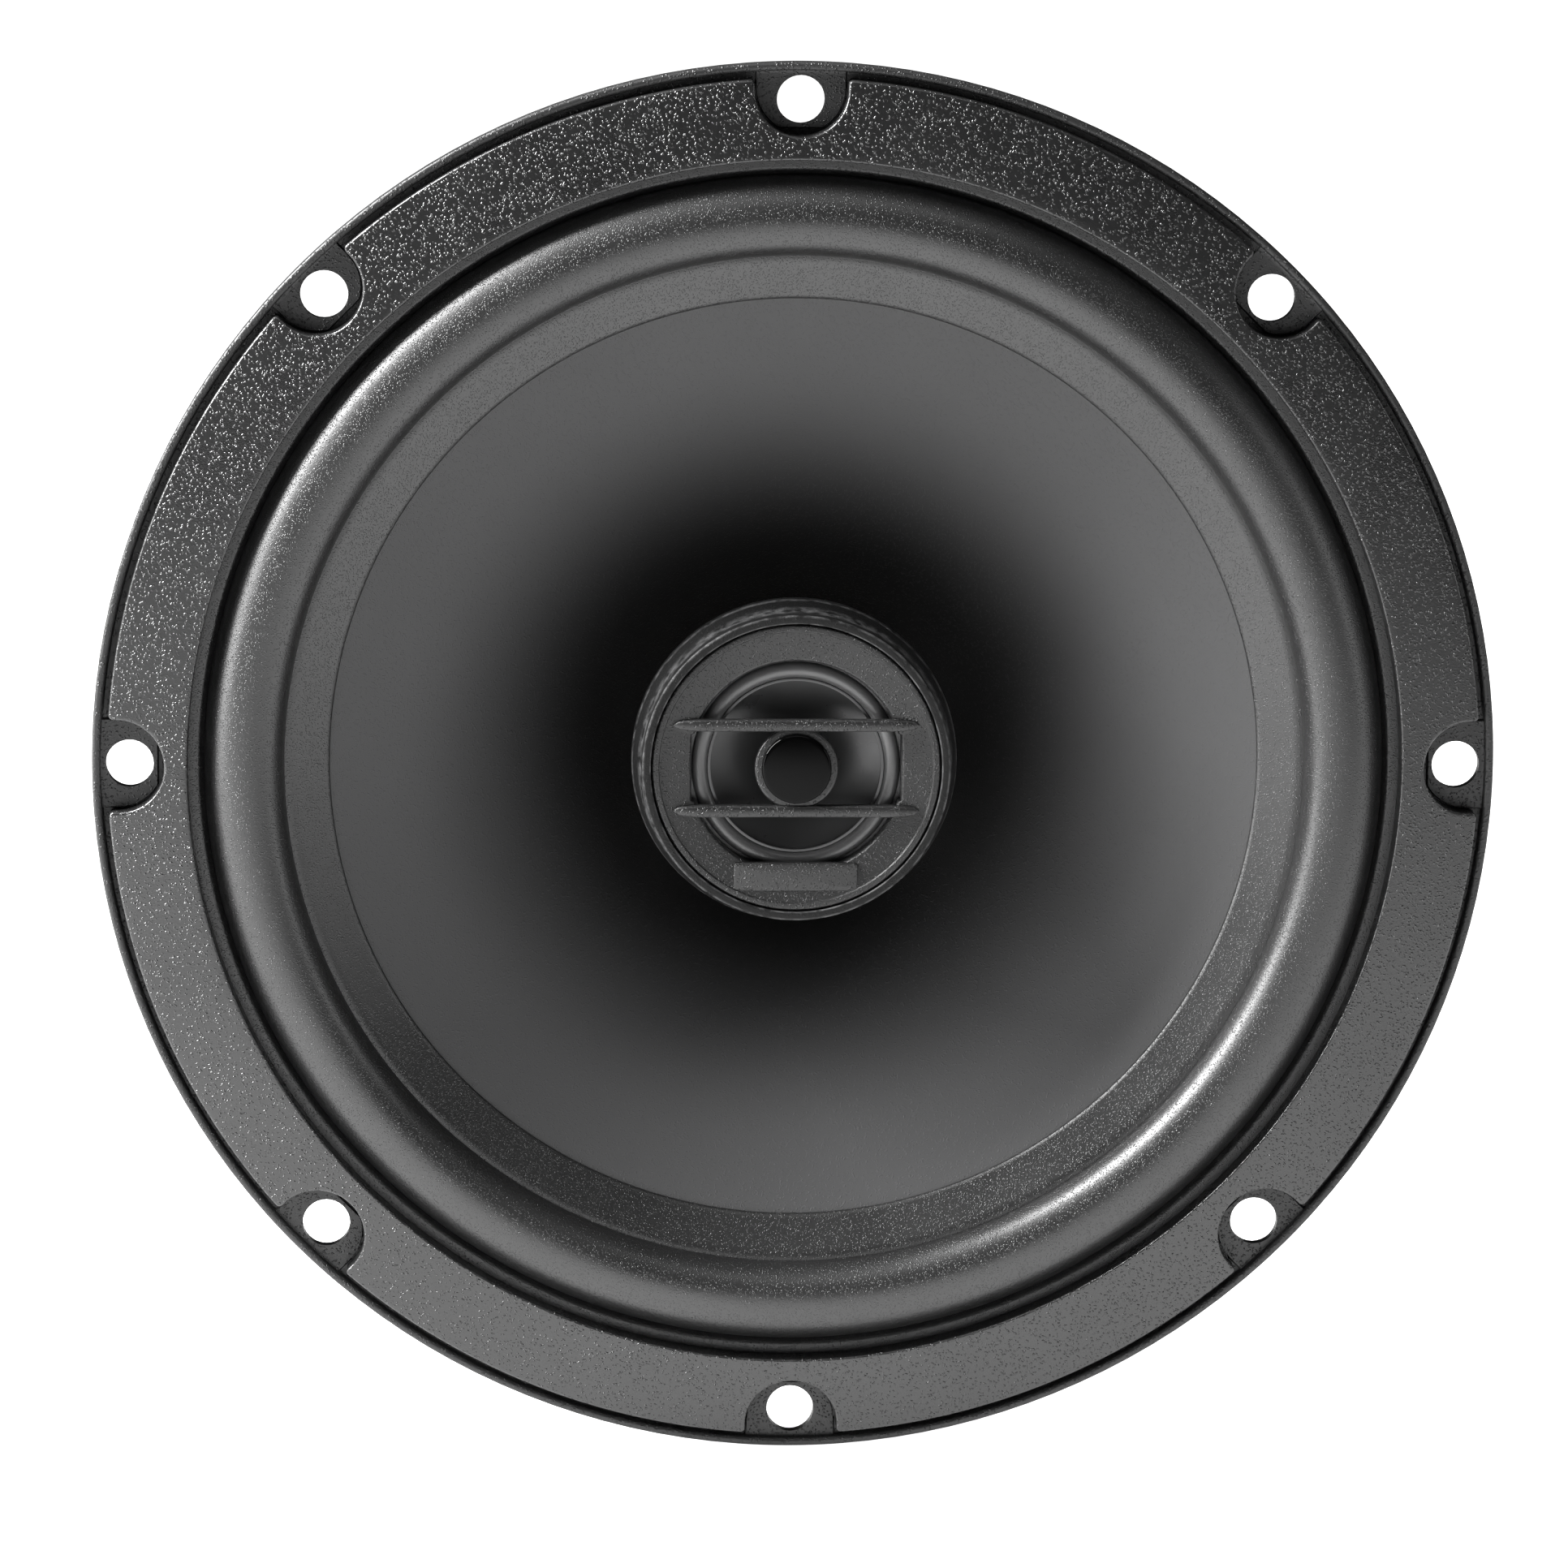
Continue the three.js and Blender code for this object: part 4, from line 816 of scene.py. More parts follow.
# %% [markdown]
# Behind the flange the sheet turns down the mouth's wall, slopes in to the ledge and steps down to
# the motor's seat. Two rounded profiles give those bends, and the slope between them is a cone.

# %% Profiles behind the mouth
WALL_END, LEDGE_F, LEDGE_R, LEDGE_IN = -8.0, -30.0, 46.0, 41.0
SEAT_R, SEAT_F, SEAT_HOLE = 39.0, -37.0, 20.0
SLOPE_TOP, SLOPE_LOW = -11.6, -26.6  # the slope is plain between these forward values


def slope_radius(f):
    """Radius of the sloping frame at a forward value."""
    return LEDGE_R + (f - LEDGE_F) / (WALL_END - LEDGE_F) * (MOUTH_R - LEDGE_R)


front_path, _ = rounded(
    [
        [MOUTH_R + FLANGE_OVER, SHEET], [MOUTH_R, SHEET], [MOUTH_R, WALL_END],
        [slope_radius(SLOPE_TOP), SLOPE_TOP],
    ], [0, 1.15, 2.4, 0], closed=False, steps=5,
)
rear_path, _ = rounded(
    [
        [slope_radius(SLOPE_LOW), SLOPE_LOW], [LEDGE_R, LEDGE_F], [LEDGE_IN, LEDGE_F],
        [SEAT_R, SEAT_F], [SEAT_HOLE, SEAT_F],
    ], [0, 1.6, 1.2, 1.2, 0], closed=False, steps=5,
)


def path_normal(path):
    """Unit normals of a profile, turned towards the rear of the sheet."""
    tangent = np.gradient(path, axis=0)
    normal = np.column_stack([-tangent[:, 1], tangent[:, 0]])
    return normal / np.linalg.norm(tangent, axis=1, keepdims=True)


print("profile points:", len(front_path), "and", len(rear_path))

# %% [markdown]
# Six windows are punched through the slope. A window is a superellipse,
# |angle / 21|^5 + |height / half height|^5 = 1, which is a rectangle with soft corners. The rows
# above a window end on its upper half and the rows below start on its lower half. Columns crowd
# towards the window's sides, where the outline turns fast. Between windows the two halves meet
# and make a leg, with a bead pressed along its middle that stiffens it.

# %% Windows and legs
WINDOWS, WINDOW_HALF_DEG, WINDOW_POWER = 6, 21.0, 5
WINDOW_COLUMNS, LEG_COLUMNS, CROWDING = 42, 11, 2.2
window_mid, window_half = (WALL_END + LEDGE_F) / 2, (WALL_END - LEDGE_F) / 2 - 4.0
crowd = 1 - (1 - np.linspace(0, 1, WINDOW_COLUMNS // 2 + 1)) ** CROWDING
window_angle = WINDOW_HALF_DEG * np.concatenate([-crowd[::-1], crowd[1:]])
leg_angle = np.linspace(WINDOW_HALF_DEG, 180 / WINDOWS, LEG_COLUMNS + 1)[1:]
bay_angle = np.concatenate([-leg_angle[:-1][::-1], window_angle, leg_angle])
across = np.minimum(np.abs(bay_angle) / WINDOW_HALF_DEG, 1)
half_open = window_half * (1 - across**WINDOW_POWER) ** (1 / WINDOW_POWER)
bay_turns = np.arange(WINDOWS) * 360 / WINDOWS
frame_angle = np.radians((bay_angle[None] + bay_turns[:, None]).ravel())
half_open = np.tile(half_open, WINDOWS)[None]
even_angle = np.radians((np.arange(COLUMNS) - COLUMNS // WINDOWS / 2 + 1) * 360 / COLUMNS)
RIB_HEIGHT, RIB_HALF_DEG = 0.9, 2.8
slope = np.array([WALL_END - LEDGE_F, MOUTH_R - LEDGE_R])  # forward and outward run of the slope
SLOPE_NORMAL = np.array([1.0, -1.0]) * slope / np.linalg.norm(slope)


def both_sides(radius, angle, f, normal=SLOPE_NORMAL):
    """Front and rear points of a patch of the sheet. The rear lies one sheet thickness away along
    the profile's normal. A bead is pressed along each leg's middle: RIB_HEIGHT x the square root
    of a sine along the slope x a flat-topped bell across the leg."""
    half_bay = 180 / WINDOWS
    in_bay = np.degrees((angle + math.pi / WINDOWS) % (2 * math.pi / WINDOWS))
    from_leg = half_bay - np.abs(in_bay - half_bay)
    along = np.clip((WALL_END - 2.5 - f) / (WALL_END - LEDGE_F - 4.5), 0, 1)
    bead = RIB_HEIGHT * np.sqrt(np.sin(np.pi * along)) * np.exp(-((from_leg / RIB_HALF_DEG) ** 4))
    return [
        on_axis(
            radius + bead * SLOPE_NORMAL[0] + depth * normal[..., :1], angle,
            f + bead * SLOPE_NORMAL[1] + depth * normal[..., 1:],
        ) for depth in (0.0, SHEET)
    ]


share = np.linspace(0, 1, 9)[1:, None]
window_top, window_low = window_mid + half_open, window_mid - half_open
top_f = SLOPE_TOP + (window_top - SLOPE_TOP) * share
low_f = np.vstack([window_low, window_low * (1 - share[:-1]) + SLOPE_LOW * share[:-1]])
turning = np.clip((np.arange(len(front_path)) - 2) / (len(front_path) - 5), 0, 1)[:, None]
turned_angle = even_angle[None] * (1 - turning) + frame_angle[None] * turning
wall_sides = both_sides(front_path[:, :1], turned_angle, front_path[:, 1:], path_normal(front_path))
upper_sides = both_sides(slope_radius(top_f), frame_angle[None], top_f)
lower_sides = both_sides(slope_radius(low_f), frame_angle[None], low_f)
seat_sides = both_sides(rear_path[:, :1], frame_angle[None], rear_path[:, 1:], path_normal(rear_path))
rows_above = len(wall_sides[0]) + len(upper_sides[0])
print("rows:", rows_above, "above the windows,", len(lower_sides[0]) + len(seat_sides[0]), "below")

# %% [markdown]
# The sheet is closed from its patches: those above and below the windows, the flange inside and
# outside the screw holes, and the lip. Where two patches touch, their points are merged. Every
# edge that is left with only one face lies on a border, of a hole, a window or the rim, and gets
# a quad across the sheet's thickness.


# %% Closing a sheet
def thick_sheet(name, patches, sharp):
    """Closed sheet from patches of (front points, rear points, faces). Front points that coincide
    are merged. A front edge that only one face uses lies on a border, and there a quad joins it
    to the same edge behind."""
    front = np.vstack([patch[0].reshape(-1, 3) for patch in patches])
    rear = np.vstack([patch[1].reshape(-1, 3) for patch in patches])
    firsts = np.cumsum([0] + [patch[0].size // 3 for patch in patches[:-1]])
    faces = np.vstack([patch[2] + first for patch, first in zip(patches, firsts)])
    _, kept, merged = np.unique(
        np.round(front / 2e-6).astype(np.int64), axis=0, return_index=True, return_inverse=True
    )
    faces, front, rear = merged.reshape(-1)[faces], front[kept], rear[kept]
    count = len(front)
    start, end = faces.ravel(), np.roll(faces, -1, 1).ravel()
    alone = ~np.isin(start * count + end, end * count + start)
    rim = np.column_stack([end[alone], start[alone], start[alone] + count, end[alone] + count])
    points = np.vstack([front, rear])
    return new_object(name, points, outward(points, [faces, faces[:, ::-1] + count, rim]), sharp=sharp)


print("sheet thickness:", SHEET, "mm")

# %% Lip and the whole sheet
lip_r, LIP_ROUND = basket_r - SHEET, 0.4
raise_f = flange_f[-1][None]
over = np.linspace(0, math.pi / 2, 4)
turn_in, turn_up = LIP_ROUND * (1 - np.cos(over)), lip_top - LIP_ROUND * (1 - np.sin(over))
lip_share = np.array([0.0, 0.03, 0.10, 0.3])[:, None]
lip_front_r = np.concatenate([lip_r - np.array([0.4, 0.12, 0.02, 0.0]), lip_r + turn_in])
lip_front_f = np.vstack([
    raise_f + (lip_top - LIP_ROUND - raise_f) * lip_share, np.repeat(turn_up[:, None], COLUMNS, 1)
])
lip_rear_r = np.concatenate([[lip_r - 0.4], basket_r - np.array([0.35, 0.08, 0.0]), basket_r - turn_in])
lip_rear_f = np.concatenate([[0.0, 0.0, 0.12, 0.45], turn_up])

patches = []
for rows in (slice(0, ROWS_IN), slice(ROWS_IN, None)):
    radius, angle, f = flange_radius[rows], flange_angle[rows], flange_f[rows]
    patches.append((
        on_axis(radius, angle, f), on_axis(radius, angle, 0.0), grid_faces(len(radius), COLUMNS)
    ))
patches.append((
    on_axis(lip_front_r[:, None], flange_angle[-1][None], lip_front_f),
    on_axis(lip_rear_r[:, None], flange_angle[-1][None], lip_rear_f[:, None]),
    grid_faces(len(lip_front_r), COLUMNS),
))
for above, below in ((wall_sides, upper_sides), (lower_sides, seat_sides)):
    front, rear = np.vstack([above[0], below[0]]), np.vstack([above[1], below[1]])
    patches.append((front, rear, grid_faces(len(front), COLUMNS)[:, ::-1]))
basket = thick_sheet("basket_pressing", patches, 32)
print("basket faces:", len(basket.data.polygons))


# %% Slabs
def slab_arrays(outline, rear, front, edge_round=0.15):
    """Flat slab from an outline of (x, z) points round its middle. The rim steps inwards by the
    edge rounding at both faces, along the outline's own normal, and each face is a fan."""
    outline = np.asarray(outline, float)
    tangent = np.roll(outline, -1, 0) - np.roll(outline, 1, 0)
    normal = np.column_stack([tangent[:, 1], -tangent[:, 0]])
    normal /= np.linalg.norm(normal, axis=1, keepdims=True) + 1e-12
    middle = outline.mean(0)
    normal *= np.sign(np.einsum("ij,ij->i", normal, outline - middle).sum())
    turn = np.linspace(0, math.pi / 2, 4)
    early, late = edge_round * (1 - np.sin(turn)), edge_round * (1 - np.cos(turn))
    inset, f = np.concatenate([early, late]), np.concatenate([rear + late, front - early])
    columns = len(outline)
    xz = outline[None] - normal[None] * inset[:, None, None]
    points = np.stack([xz[..., 0], np.repeat(-f[:, None], columns, 1), xz[..., 1]], -1).reshape(-1, 3)
    ends = np.array([[middle[0], -rear, middle[1]], [middle[0], -front, middle[1]]])
    weights = np.repeat(np.sin(np.pi * np.clip(inset / edge_round, 0, 1)), columns)
    points = np.vstack([points, ends]) * MM
    faces = outward(points, capped_faces(len(f), columns))
    return points, faces, np.append(weights, [0.0, 0.0])


def soft_rectangle(x0, x1, z0, z1, corner, steps=6):
    """Outline of a rectangle with rounded corners."""
    return rounded([[x0, z0], [x1, z0], [x1, z1], [x0, z1]], corner, steps=steps)[0]


LUG_HALF, LUG_BOTTOM = 9.0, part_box("terminal_board")[0].z / MM
lug_outline = soft_rectangle(-LUG_HALF, LUG_HALF, LUG_BOTTOM, 1 - LEDGE_R, 1.5)
basket_lug = new_object("terminal_lug", *slab_arrays(lug_outline, LEDGE_F - SHEET, LEDGE_F, 0.2))
dress(basket, steel_paint, "root", "black_steel", "basket")
dress(basket_lug, steel_paint, "root", "black_steel")

# %% [markdown]
# ## Trim ring
# The trim ring is a moulded ring that sits inside the lip, with a U notch round every screw. It is
# made as one loop that follows the outline, into each notch and out again. Each row of the loop is
# the outline moved inwards by a distance d. That is exact here: the notch's radius grows by d, the
# outer radius and the corners' radius shrink by d.

# %% Trim ring
trim_r, _, trim_top = extent("trim_ring")
TRIM_IN, TRIM_STEP_R = trim_r - 9.4, trim_r - 7.4
TRIM_FACE_OUT, TRIM_EDGE, NOTCH_R, NOTCH_CORNER = 3.8, 0.28, 5.45, 0.55
LAND_TOP = 1.7


def outline_offset(d):
    """Half a sector of the outline moved inwards by d: points (a, b) from the notch's bottom to
    the sector's edge, a along the hole's radial line and b across it."""
    psi = np.linspace(0, math.pi / 2, 19)[:-1]
    reach = NOTCH_R + d
    arc = np.column_stack([notch_r - reach * np.cos(psi), reach * np.sin(psi)])
    corner_b = NOTCH_R + NOTCH_CORNER
    corner_a = math.sqrt((trim_r - NOTCH_CORNER) ** 2 - corner_b**2)
    side_a = np.linspace(notch_r, corner_a, 4)[:-1]
    side = np.column_stack([side_a, np.full(3, reach)])
    leave = math.atan2(corner_b, corner_a)
    chi = np.linspace(-math.pi / 2, leave, 7)[:-1]
    small = NOTCH_CORNER - d
    corner = np.column_stack([corner_a + small * np.cos(chi), corner_b + small * np.sin(chi)])
    theta = np.linspace(leave, math.pi / HOLES, 19)
    rim = (trim_r - d) * np.column_stack([np.cos(theta), np.sin(theta)])
    return np.vstack([arc, side, corner, rim])


def whole_outline(half):
    """All sixteen half sectors as one closed curve (x, z): mirrored, then turned to each hole."""
    sector = np.vstack([half[1:][::-1] * [1, -1], half[:-1]])
    turns = np.arange(HOLES) * 2 * math.pi / HOLES
    x = sector[None, :, 0] * np.cos(turns)[:, None] - sector[None, :, 1] * np.sin(turns)[:, None]
    z = sector[None, :, 0] * np.sin(turns)[:, None] + sector[None, :, 1] * np.cos(turns)[:, None]
    return np.stack([x, z], -1).reshape(-1, 2)


def inner_circle(radius):
    """The inner circle at the outline's columns, spread by the outline's own length."""
    outline = outline_offset(0.0)
    length = np.concatenate([[0], np.cumsum(np.linalg.norm(np.diff(outline, axis=0), axis=1))])
    theta = length / length[-1] * math.pi / HOLES
    return radius * np.column_stack([np.cos(theta), np.sin(theta)])


def trim_height(xz):
    """Height of the ring's face: it rises inwards, with a slight crown."""
    share = np.clip((trim_r - np.hypot(xz[..., 0], xz[..., 1])) / (trim_r - TRIM_IN), 0, 1)
    return TRIM_FACE_OUT + (trim_top - TRIM_FACE_OUT) * share + 0.3 * share * (1 - share)


print("outline points:", len(whole_outline(outline_offset(0.0))))


# %% Rows of the trim ring
def rounded_row(outline_at, turn):
    """Row (outline, forward, edge weight) at that angle of the face's rounded edge."""
    xz = whole_outline(outline_at(TRIM_EDGE * (1 - math.cos(turn))))
    return xz, trim_height(xz) - TRIM_EDGE * (1 - math.sin(turn)), math.sin(2 * turn)


quarter = np.linspace(0, math.pi / 2, 6)
side_rows = [(whole_outline(outline_offset(0.0)), f, 0.0) for f in (1.0, 2.0)]
outer_rows = [rounded_row(outline_offset, turn) for turn in quarter]
inner_rows = [rounded_row(lambda d: inner_circle(TRIM_IN + d), turn) for turn in quarter[::-1]]
outer_xz, inner_xz = outer_rows[-1][0], inner_rows[0][0]
across_xz = [outer_xz + (inner_xz - outer_xz) * share for share in np.linspace(0, 1, 12)[1:-1]]
face_rows = [(xz, trim_height(xz), 0.0) for xz in across_xz]
step_corners = ((TRIM_IN, 3.2), (TRIM_IN, LAND_TOP), (TRIM_STEP_R, LAND_TOP), (TRIM_STEP_R, 1.0))
step_rows = [(whole_outline(inner_circle(radius)), f, 0.0) for radius, f in step_corners]
rows = side_rows + outer_rows + face_rows + inner_rows + step_rows
xz = np.array([row[0] for row in rows])
f = np.array([np.broadcast_to(row[1], len(row[0])) for row in rows])
trim_points = np.stack([xz[..., 0], -f, xz[..., 1]], -1).reshape(-1, 3) * MM
trim_faces = outward(trim_points, [grid_faces(*f.shape, wrap_rows=True)])
trim_edge = np.repeat([row[2] for row in rows], f.shape[1])
trim_ring = new_object("trim_ring_moulding", trim_points, trim_faces, trim_edge)
dress(trim_ring, trim_plastic, "root", "trim_plastic", "trim_ring")
print("trim ring:", f.shape, "rows and columns")

# %% [markdown]
# ## Cone and surround
# The cone is nearly straight at the rim and steepens towards the neck. With l running from 0 at
# the rim to 1 at the neck, its depth is 28 (0.78 l + 0.22 l^4). The surround is one moulding of
# rubber: a land glued to the basket, half a roll and a band glued to the cone. When the cone
# moves, the roll's outer root stays and its inner root follows the cone.

# %% Cone
coil_r = extent("voice_coil_former")[0]
CONE_DEPTH, CONE_STRAIGHT, CONE_FLARE, CONE_WALL = 28.0, 0.78, 4, 0.8


def cone_forward(radius):
    """Forward value of the cone's front surface."""
    left = 1 - (radius - coil_r) / (cone_outer - coil_r)
    return cone_front - CONE_DEPTH * (CONE_STRAIGHT * left + (1 - CONE_STRAIGHT) * left**CONE_FLARE)


cone_radii = np.linspace(cone_outer, coil_r, 60)
cone_profile = np.vstack([
    np.column_stack([cone_radii, cone_forward(cone_radii)]),
    np.column_stack([cone_radii, cone_forward(cone_radii) - CONE_WALL])[::-1],
])
cone = turned("pulp_cone", cone_profile)
dress(cone, cone_paper, "woofer", "cone_paper", "cone")
print("cone depth:", round(float(cone_forward(cone_outer) - cone_forward(coil_r)), 2))

# %% Surround
surround_r = extent("surround")[0]
RUBBER_WALL, ROLL_OUT, ROLL_IN, ROLL_BASE = 0.7, MOUTH_R - 1.3, MOUTH_R - 10.7, 1.0
ROLL_HEIGHT, BAND_IN, BAND_EDGE, GLUE = 4.5, cone_outer - 4.45, 0.34, 0.01
band_top = cone_front + RUBBER_WALL
alpha = np.linspace(0, math.pi, 49)


def roll_path(width, height):
    """Half ellipse from the outer root to the inner one, over a base that rises to the band."""
    share = (1 - np.cos(alpha)) / 2
    middle, base = (ROLL_OUT + ROLL_IN) / 2, ROLL_BASE + (band_top - ROLL_BASE) * share
    return np.column_stack([middle + width * np.cos(alpha), base + height * np.sin(alpha)])


land, _ = rounded(
    [
        [surround_r, 1.0], [surround_r, LAND_TOP], [MOUTH_R - 0.7, LAND_TOP],
        [ROLL_OUT + 0.1, ROLL_BASE],
    ], [0, 0.2, 0.35, 0], closed=False,
)
band_radii = np.linspace(ROLL_IN - 0.25, BAND_IN, 14)
band_wall = BAND_EDGE + (RUBBER_WALL - BAND_EDGE) * (band_radii - BAND_IN) / (ROLL_IN - BAND_IN)
glued_f = cone_forward(np.minimum(band_radii, cone_outer))
band = np.column_stack([band_radii, glued_f + band_wall])
under_band = np.column_stack([band_radii, glued_f + GLUE])[::-1]
tip_r = BAND_IN - np.array([0.12, 0.10])
tip_in = np.column_stack([tip_r, cone_forward(tip_r) + [0.15, GLUE]])
half_width = (ROLL_OUT - ROLL_IN) / 2
under_roll = roll_path(half_width - RUBBER_WALL, ROLL_HEIGHT - RUBBER_WALL)[::-1]
under_land = np.array([
    [ROLL_OUT - RUBBER_WALL, ROLL_BASE - 0.6], [ROLL_OUT + 0.3, ROLL_BASE - 0.7],
    [MOUTH_R - 0.05, 0.9], [MOUTH_R + 0.3, 1.0],
])
surround_profile = np.vstack([
    land[:-1], roll_path(half_width, ROLL_HEIGHT), band, tip_in, under_band, under_roll[1:-1], under_land
])
surround = turned("rubber_surround", surround_profile, columns=256, sharp=50)


def bend_with(piece, body, share):
    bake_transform(piece, "root", body, start=(0, 0, 0), end=(0, -1, 0))
    smooth_share = share**2 * (3 - 2 * share)
    piece.data.attributes["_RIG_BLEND"].data.foreach_set("value", smooth_share.astype(np.float32))


def points_of(piece):
    """The x, y and z of a piece's points, in metres."""
    place = np.zeros(len(piece.data.vertices) * 3)
    piece.data.vertices.foreach_get("co", place)
    return place.reshape(-1, 3).T


def inward(piece, outer, inner):
    """0 where a point's radius is the outer one or more, 1 where it is the inner one or less."""
    x, _, z = points_of(piece)
    return np.clip((outer - np.hypot(x, z) / MM) / (outer - inner), 0, 1)


bend_with(surround, "woofer", inward(surround, ROLL_OUT, ROLL_IN))
dress(surround, rubber, "woofer", "surround_rubber", "surround")
print("surround faces:", len(surround.data.polygons))

# %% [markdown]
# ## Spider, former and coils
# The spider's pleats are waves whose height dies away at both ends: three waves between the ledge
# and the collar. The coil is glued to the former, a tube that passes through the motor's gap.

# %% Spider
ledge_top = LEDGE_F + 0.6
PLEAT_OUT, PLEAT_IN = LEDGE_IN - 0.6, coil_r + 2.6
PLEAT_HEIGHT, PLEAT_WAVES, CLOTH_WALL = 1.1, 3, 0.6
cloth_radii = np.linspace(LEDGE_R - 1, coil_r, 130)
pleat = np.clip((PLEAT_OUT - cloth_radii) / (PLEAT_OUT - PLEAT_IN), 0, 1)
pleat_f = ledge_top + PLEAT_HEIGHT * np.sin(2 * np.pi * PLEAT_WAVES * pleat) * np.sin(np.pi * pleat) ** 0.3
cloth_profile = np.vstack([
    np.column_stack([cloth_radii, pleat_f]), np.column_stack([cloth_radii, pleat_f - CLOTH_WALL])[::-1]
])
spider = turned("pleated_spider", cloth_profile, columns=160, sharp=50)
bend_with(spider, "woofer", inward(spider, PLEAT_OUT, PLEAT_IN))
dress(spider, spider_cloth, "woofer", "spider_cloth", "spider")
print("spider faces:", len(spider.data.polygons))


# %% Formers and coils
def tube_corners(node_name, inner):
    """Corners of a plain ring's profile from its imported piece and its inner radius."""
    outer, rear, front = extent(node_name)
    return [[outer, rear], [outer, front], [inner, front], [inner, rear]]


former = turned_corners("coil_former", tube_corners("voice_coil_former", coil_r - 0.4), 0.05)
dress(former, foil, "woofer", "former_foil", "voice_coil_former")
winding = turned_corners("copper_winding", tube_corners("voice_coil", coil_r), 0.25)
dress(winding, copper, "woofer", "copper_wire", "voice_coil")
small_out, small_back, small_front_f = extent("tweeter_voice_coil")
small_in, WOUND_SHORT = extent("tweeter_dome")[0], 1.3
wound_front = small_front_f - WOUND_SHORT
for label, low_f, high_f, setback in (
    ("tweeter_winding", small_back, wound_front, 0.1),
    ("tweeter_coil_former", wound_front + 0.02, small_front_f, 0.08),
):
    tube = [[small_out, low_f], [small_out, high_f], [small_in, high_f], [small_in, low_f]]
    made = turned_corners(label, tube, setback, 128)
    if label == "tweeter_winding":
        dress(made, copper, "tweeter", "copper_wire", "tweeter_voice_coil")
    else:
        dress(made, former_metal, "tweeter", "dome_metal")
print("coils:", round(extent("voice_coil")[0], 2), round(extent("tweeter_voice_coil")[0], 2))

# %% [markdown]
# ## Motor
# A ferrite ring is clamped between two steel plates. The pole stands on the back plate, and the
# coil moves in the gap between the pole and the top plate. The back plate has a recess for the
# post's nut and a groove for the tweeter's wires, so its columns are bent to follow the groove's
# straight walls: within the groove the angle is asin(offset / radius).

# %% Plates and magnet
CHAMFER = 0.8


def chamfered(node_name, inner):
    """Ring with chamfered outer edges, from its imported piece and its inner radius."""
    outer, rear, front = extent(node_name)
    return [
        [outer - CHAMFER, rear], [outer, rear + CHAMFER], [outer, front - CHAMFER],
        [outer - CHAMFER, front], [inner, front], [inner, rear],
    ]


top_plate = turned_corners("motor_top_plate", chamfered("top_plate", coil_r + 1.4), 0.3)
dress(top_plate, zinc, "root", "zinc_steel", "top_plate")
ferrite_ring = turned_corners("ferrite_ring", chamfered("magnet", 16.5), 0.35)
dress(ferrite_ring, ferrite, "root", "ferrite", "magnet")

plate_r, plate_rear, pole_top = extent("yoke")
plate_front = plate_rear + 5.0
POLE_R, BORE_R, RECESS_R, RECESS_DEPTH = 12.0, 5.0, 8.0, 6.5
GROOVE_HALF, GROOVE_DEPTH = 2.2, 1.8
GROOVE_COLUMNS, PLATE_COLUMNS = 9, 208
yoke_corners = [
    [BORE_R, pole_top], [POLE_R - CHAMFER, pole_top], [POLE_R, pole_top - CHAMFER],
    [POLE_R, plate_front], [plate_r - CHAMFER, plate_front], [plate_r, plate_front - CHAMFER],
    [plate_r, plate_rear + CHAMFER], [plate_r - CHAMFER, plate_rear], [RECESS_R, plate_rear],
    [RECESS_R, plate_rear + RECESS_DEPTH], [BORE_R, plate_rear + RECESS_DEPTH],
]
yoke_profile, yoke_edge = rounded(yoke_corners, 0.3)
offsets = np.linspace(-1, 1, GROOVE_COLUMNS) * (GROOVE_HALF - 0.05)
wide = GROOVE_HALF + 0.02
rest_columns = PLATE_COLUMNS - GROOVE_COLUMNS
rest_share = np.linspace(0, 1, rest_columns)
row_r = yoke_profile[:, :1]
inside = np.arcsin(np.clip(offsets[None] / row_r, -1, 1))
wall_angle = np.arcsin(wide / row_r)
outside = wall_angle + rest_share[None] * (2 * math.pi - 2 * wall_angle)
yoke_angle = np.hstack([inside, outside]) - math.pi / 2
in_groove = np.concatenate([np.ones(GROOVE_COLUMNS), np.zeros(rest_columns)])
near_rear = yoke_profile[:, 1:] < plate_rear + GROOVE_DEPTH
outside_recess = row_r > RECESS_R - 0.4
floor_f = np.maximum(yoke_profile[:, 1:], plate_rear + GROOVE_DEPTH)
yoke_f = np.where(near_rear & outside_recess & (in_groove[None] > 0), floor_f, yoke_profile[:, 1:])
yoke_points = on_axis(row_r, yoke_angle, yoke_f).reshape(-1, 3)
yoke_faces = outward(yoke_points, [grid_faces(*yoke_f.shape, wrap_rows=True)])
yoke = new_object("pole_and_back_plate", yoke_points, yoke_faces, np.repeat(yoke_edge, PLATE_COLUMNS))
dress(yoke, zinc, "root", "zinc_steel", "yoke")
print("back plate:", round(2 * plate_r, 1), "mm across")

# %% [markdown]
# Four rivets stake the top plate to the basket's seat. Their heads are flattened domes with a
# dimple left by the staking punch.

# %% Motor rivets
RIVET_R, RIVET_HEAD_R, RIVET_HEAD = 1.8, 3.24, 0.9
for index in range(4):
    centre, _, rear, front = seat_of(f"motor_rivet_{index + 1}")
    seat = front - RIVET_HEAD
    corners = [
        [0, rear], [RIVET_R, rear], [RIVET_R, seat], [RIVET_HEAD_R, seat], [RIVET_HEAD_R, seat + 0.35],
        [RIVET_HEAD_R * 0.75, front], [1.0, front], [0.7, front - 0.35], [0, front - 0.4],
    ]
    rivet = turned_corners(f"motor_rivet_head_{index + 1}", corners, 0.2, 40, centre)
    dress(rivet, rivet_steel, "root", "zinc_steel", f"motor_rivet_{index + 1}")
print("rivets at radius", round(math.hypot(*centre), 1))

# %% [markdown]
# The tweeter stands on a hollow post through the pole. Its lower end is threaded, and a washer
# and a nut in the back plate's recess draw it tight. The thread is a sine along the profile.

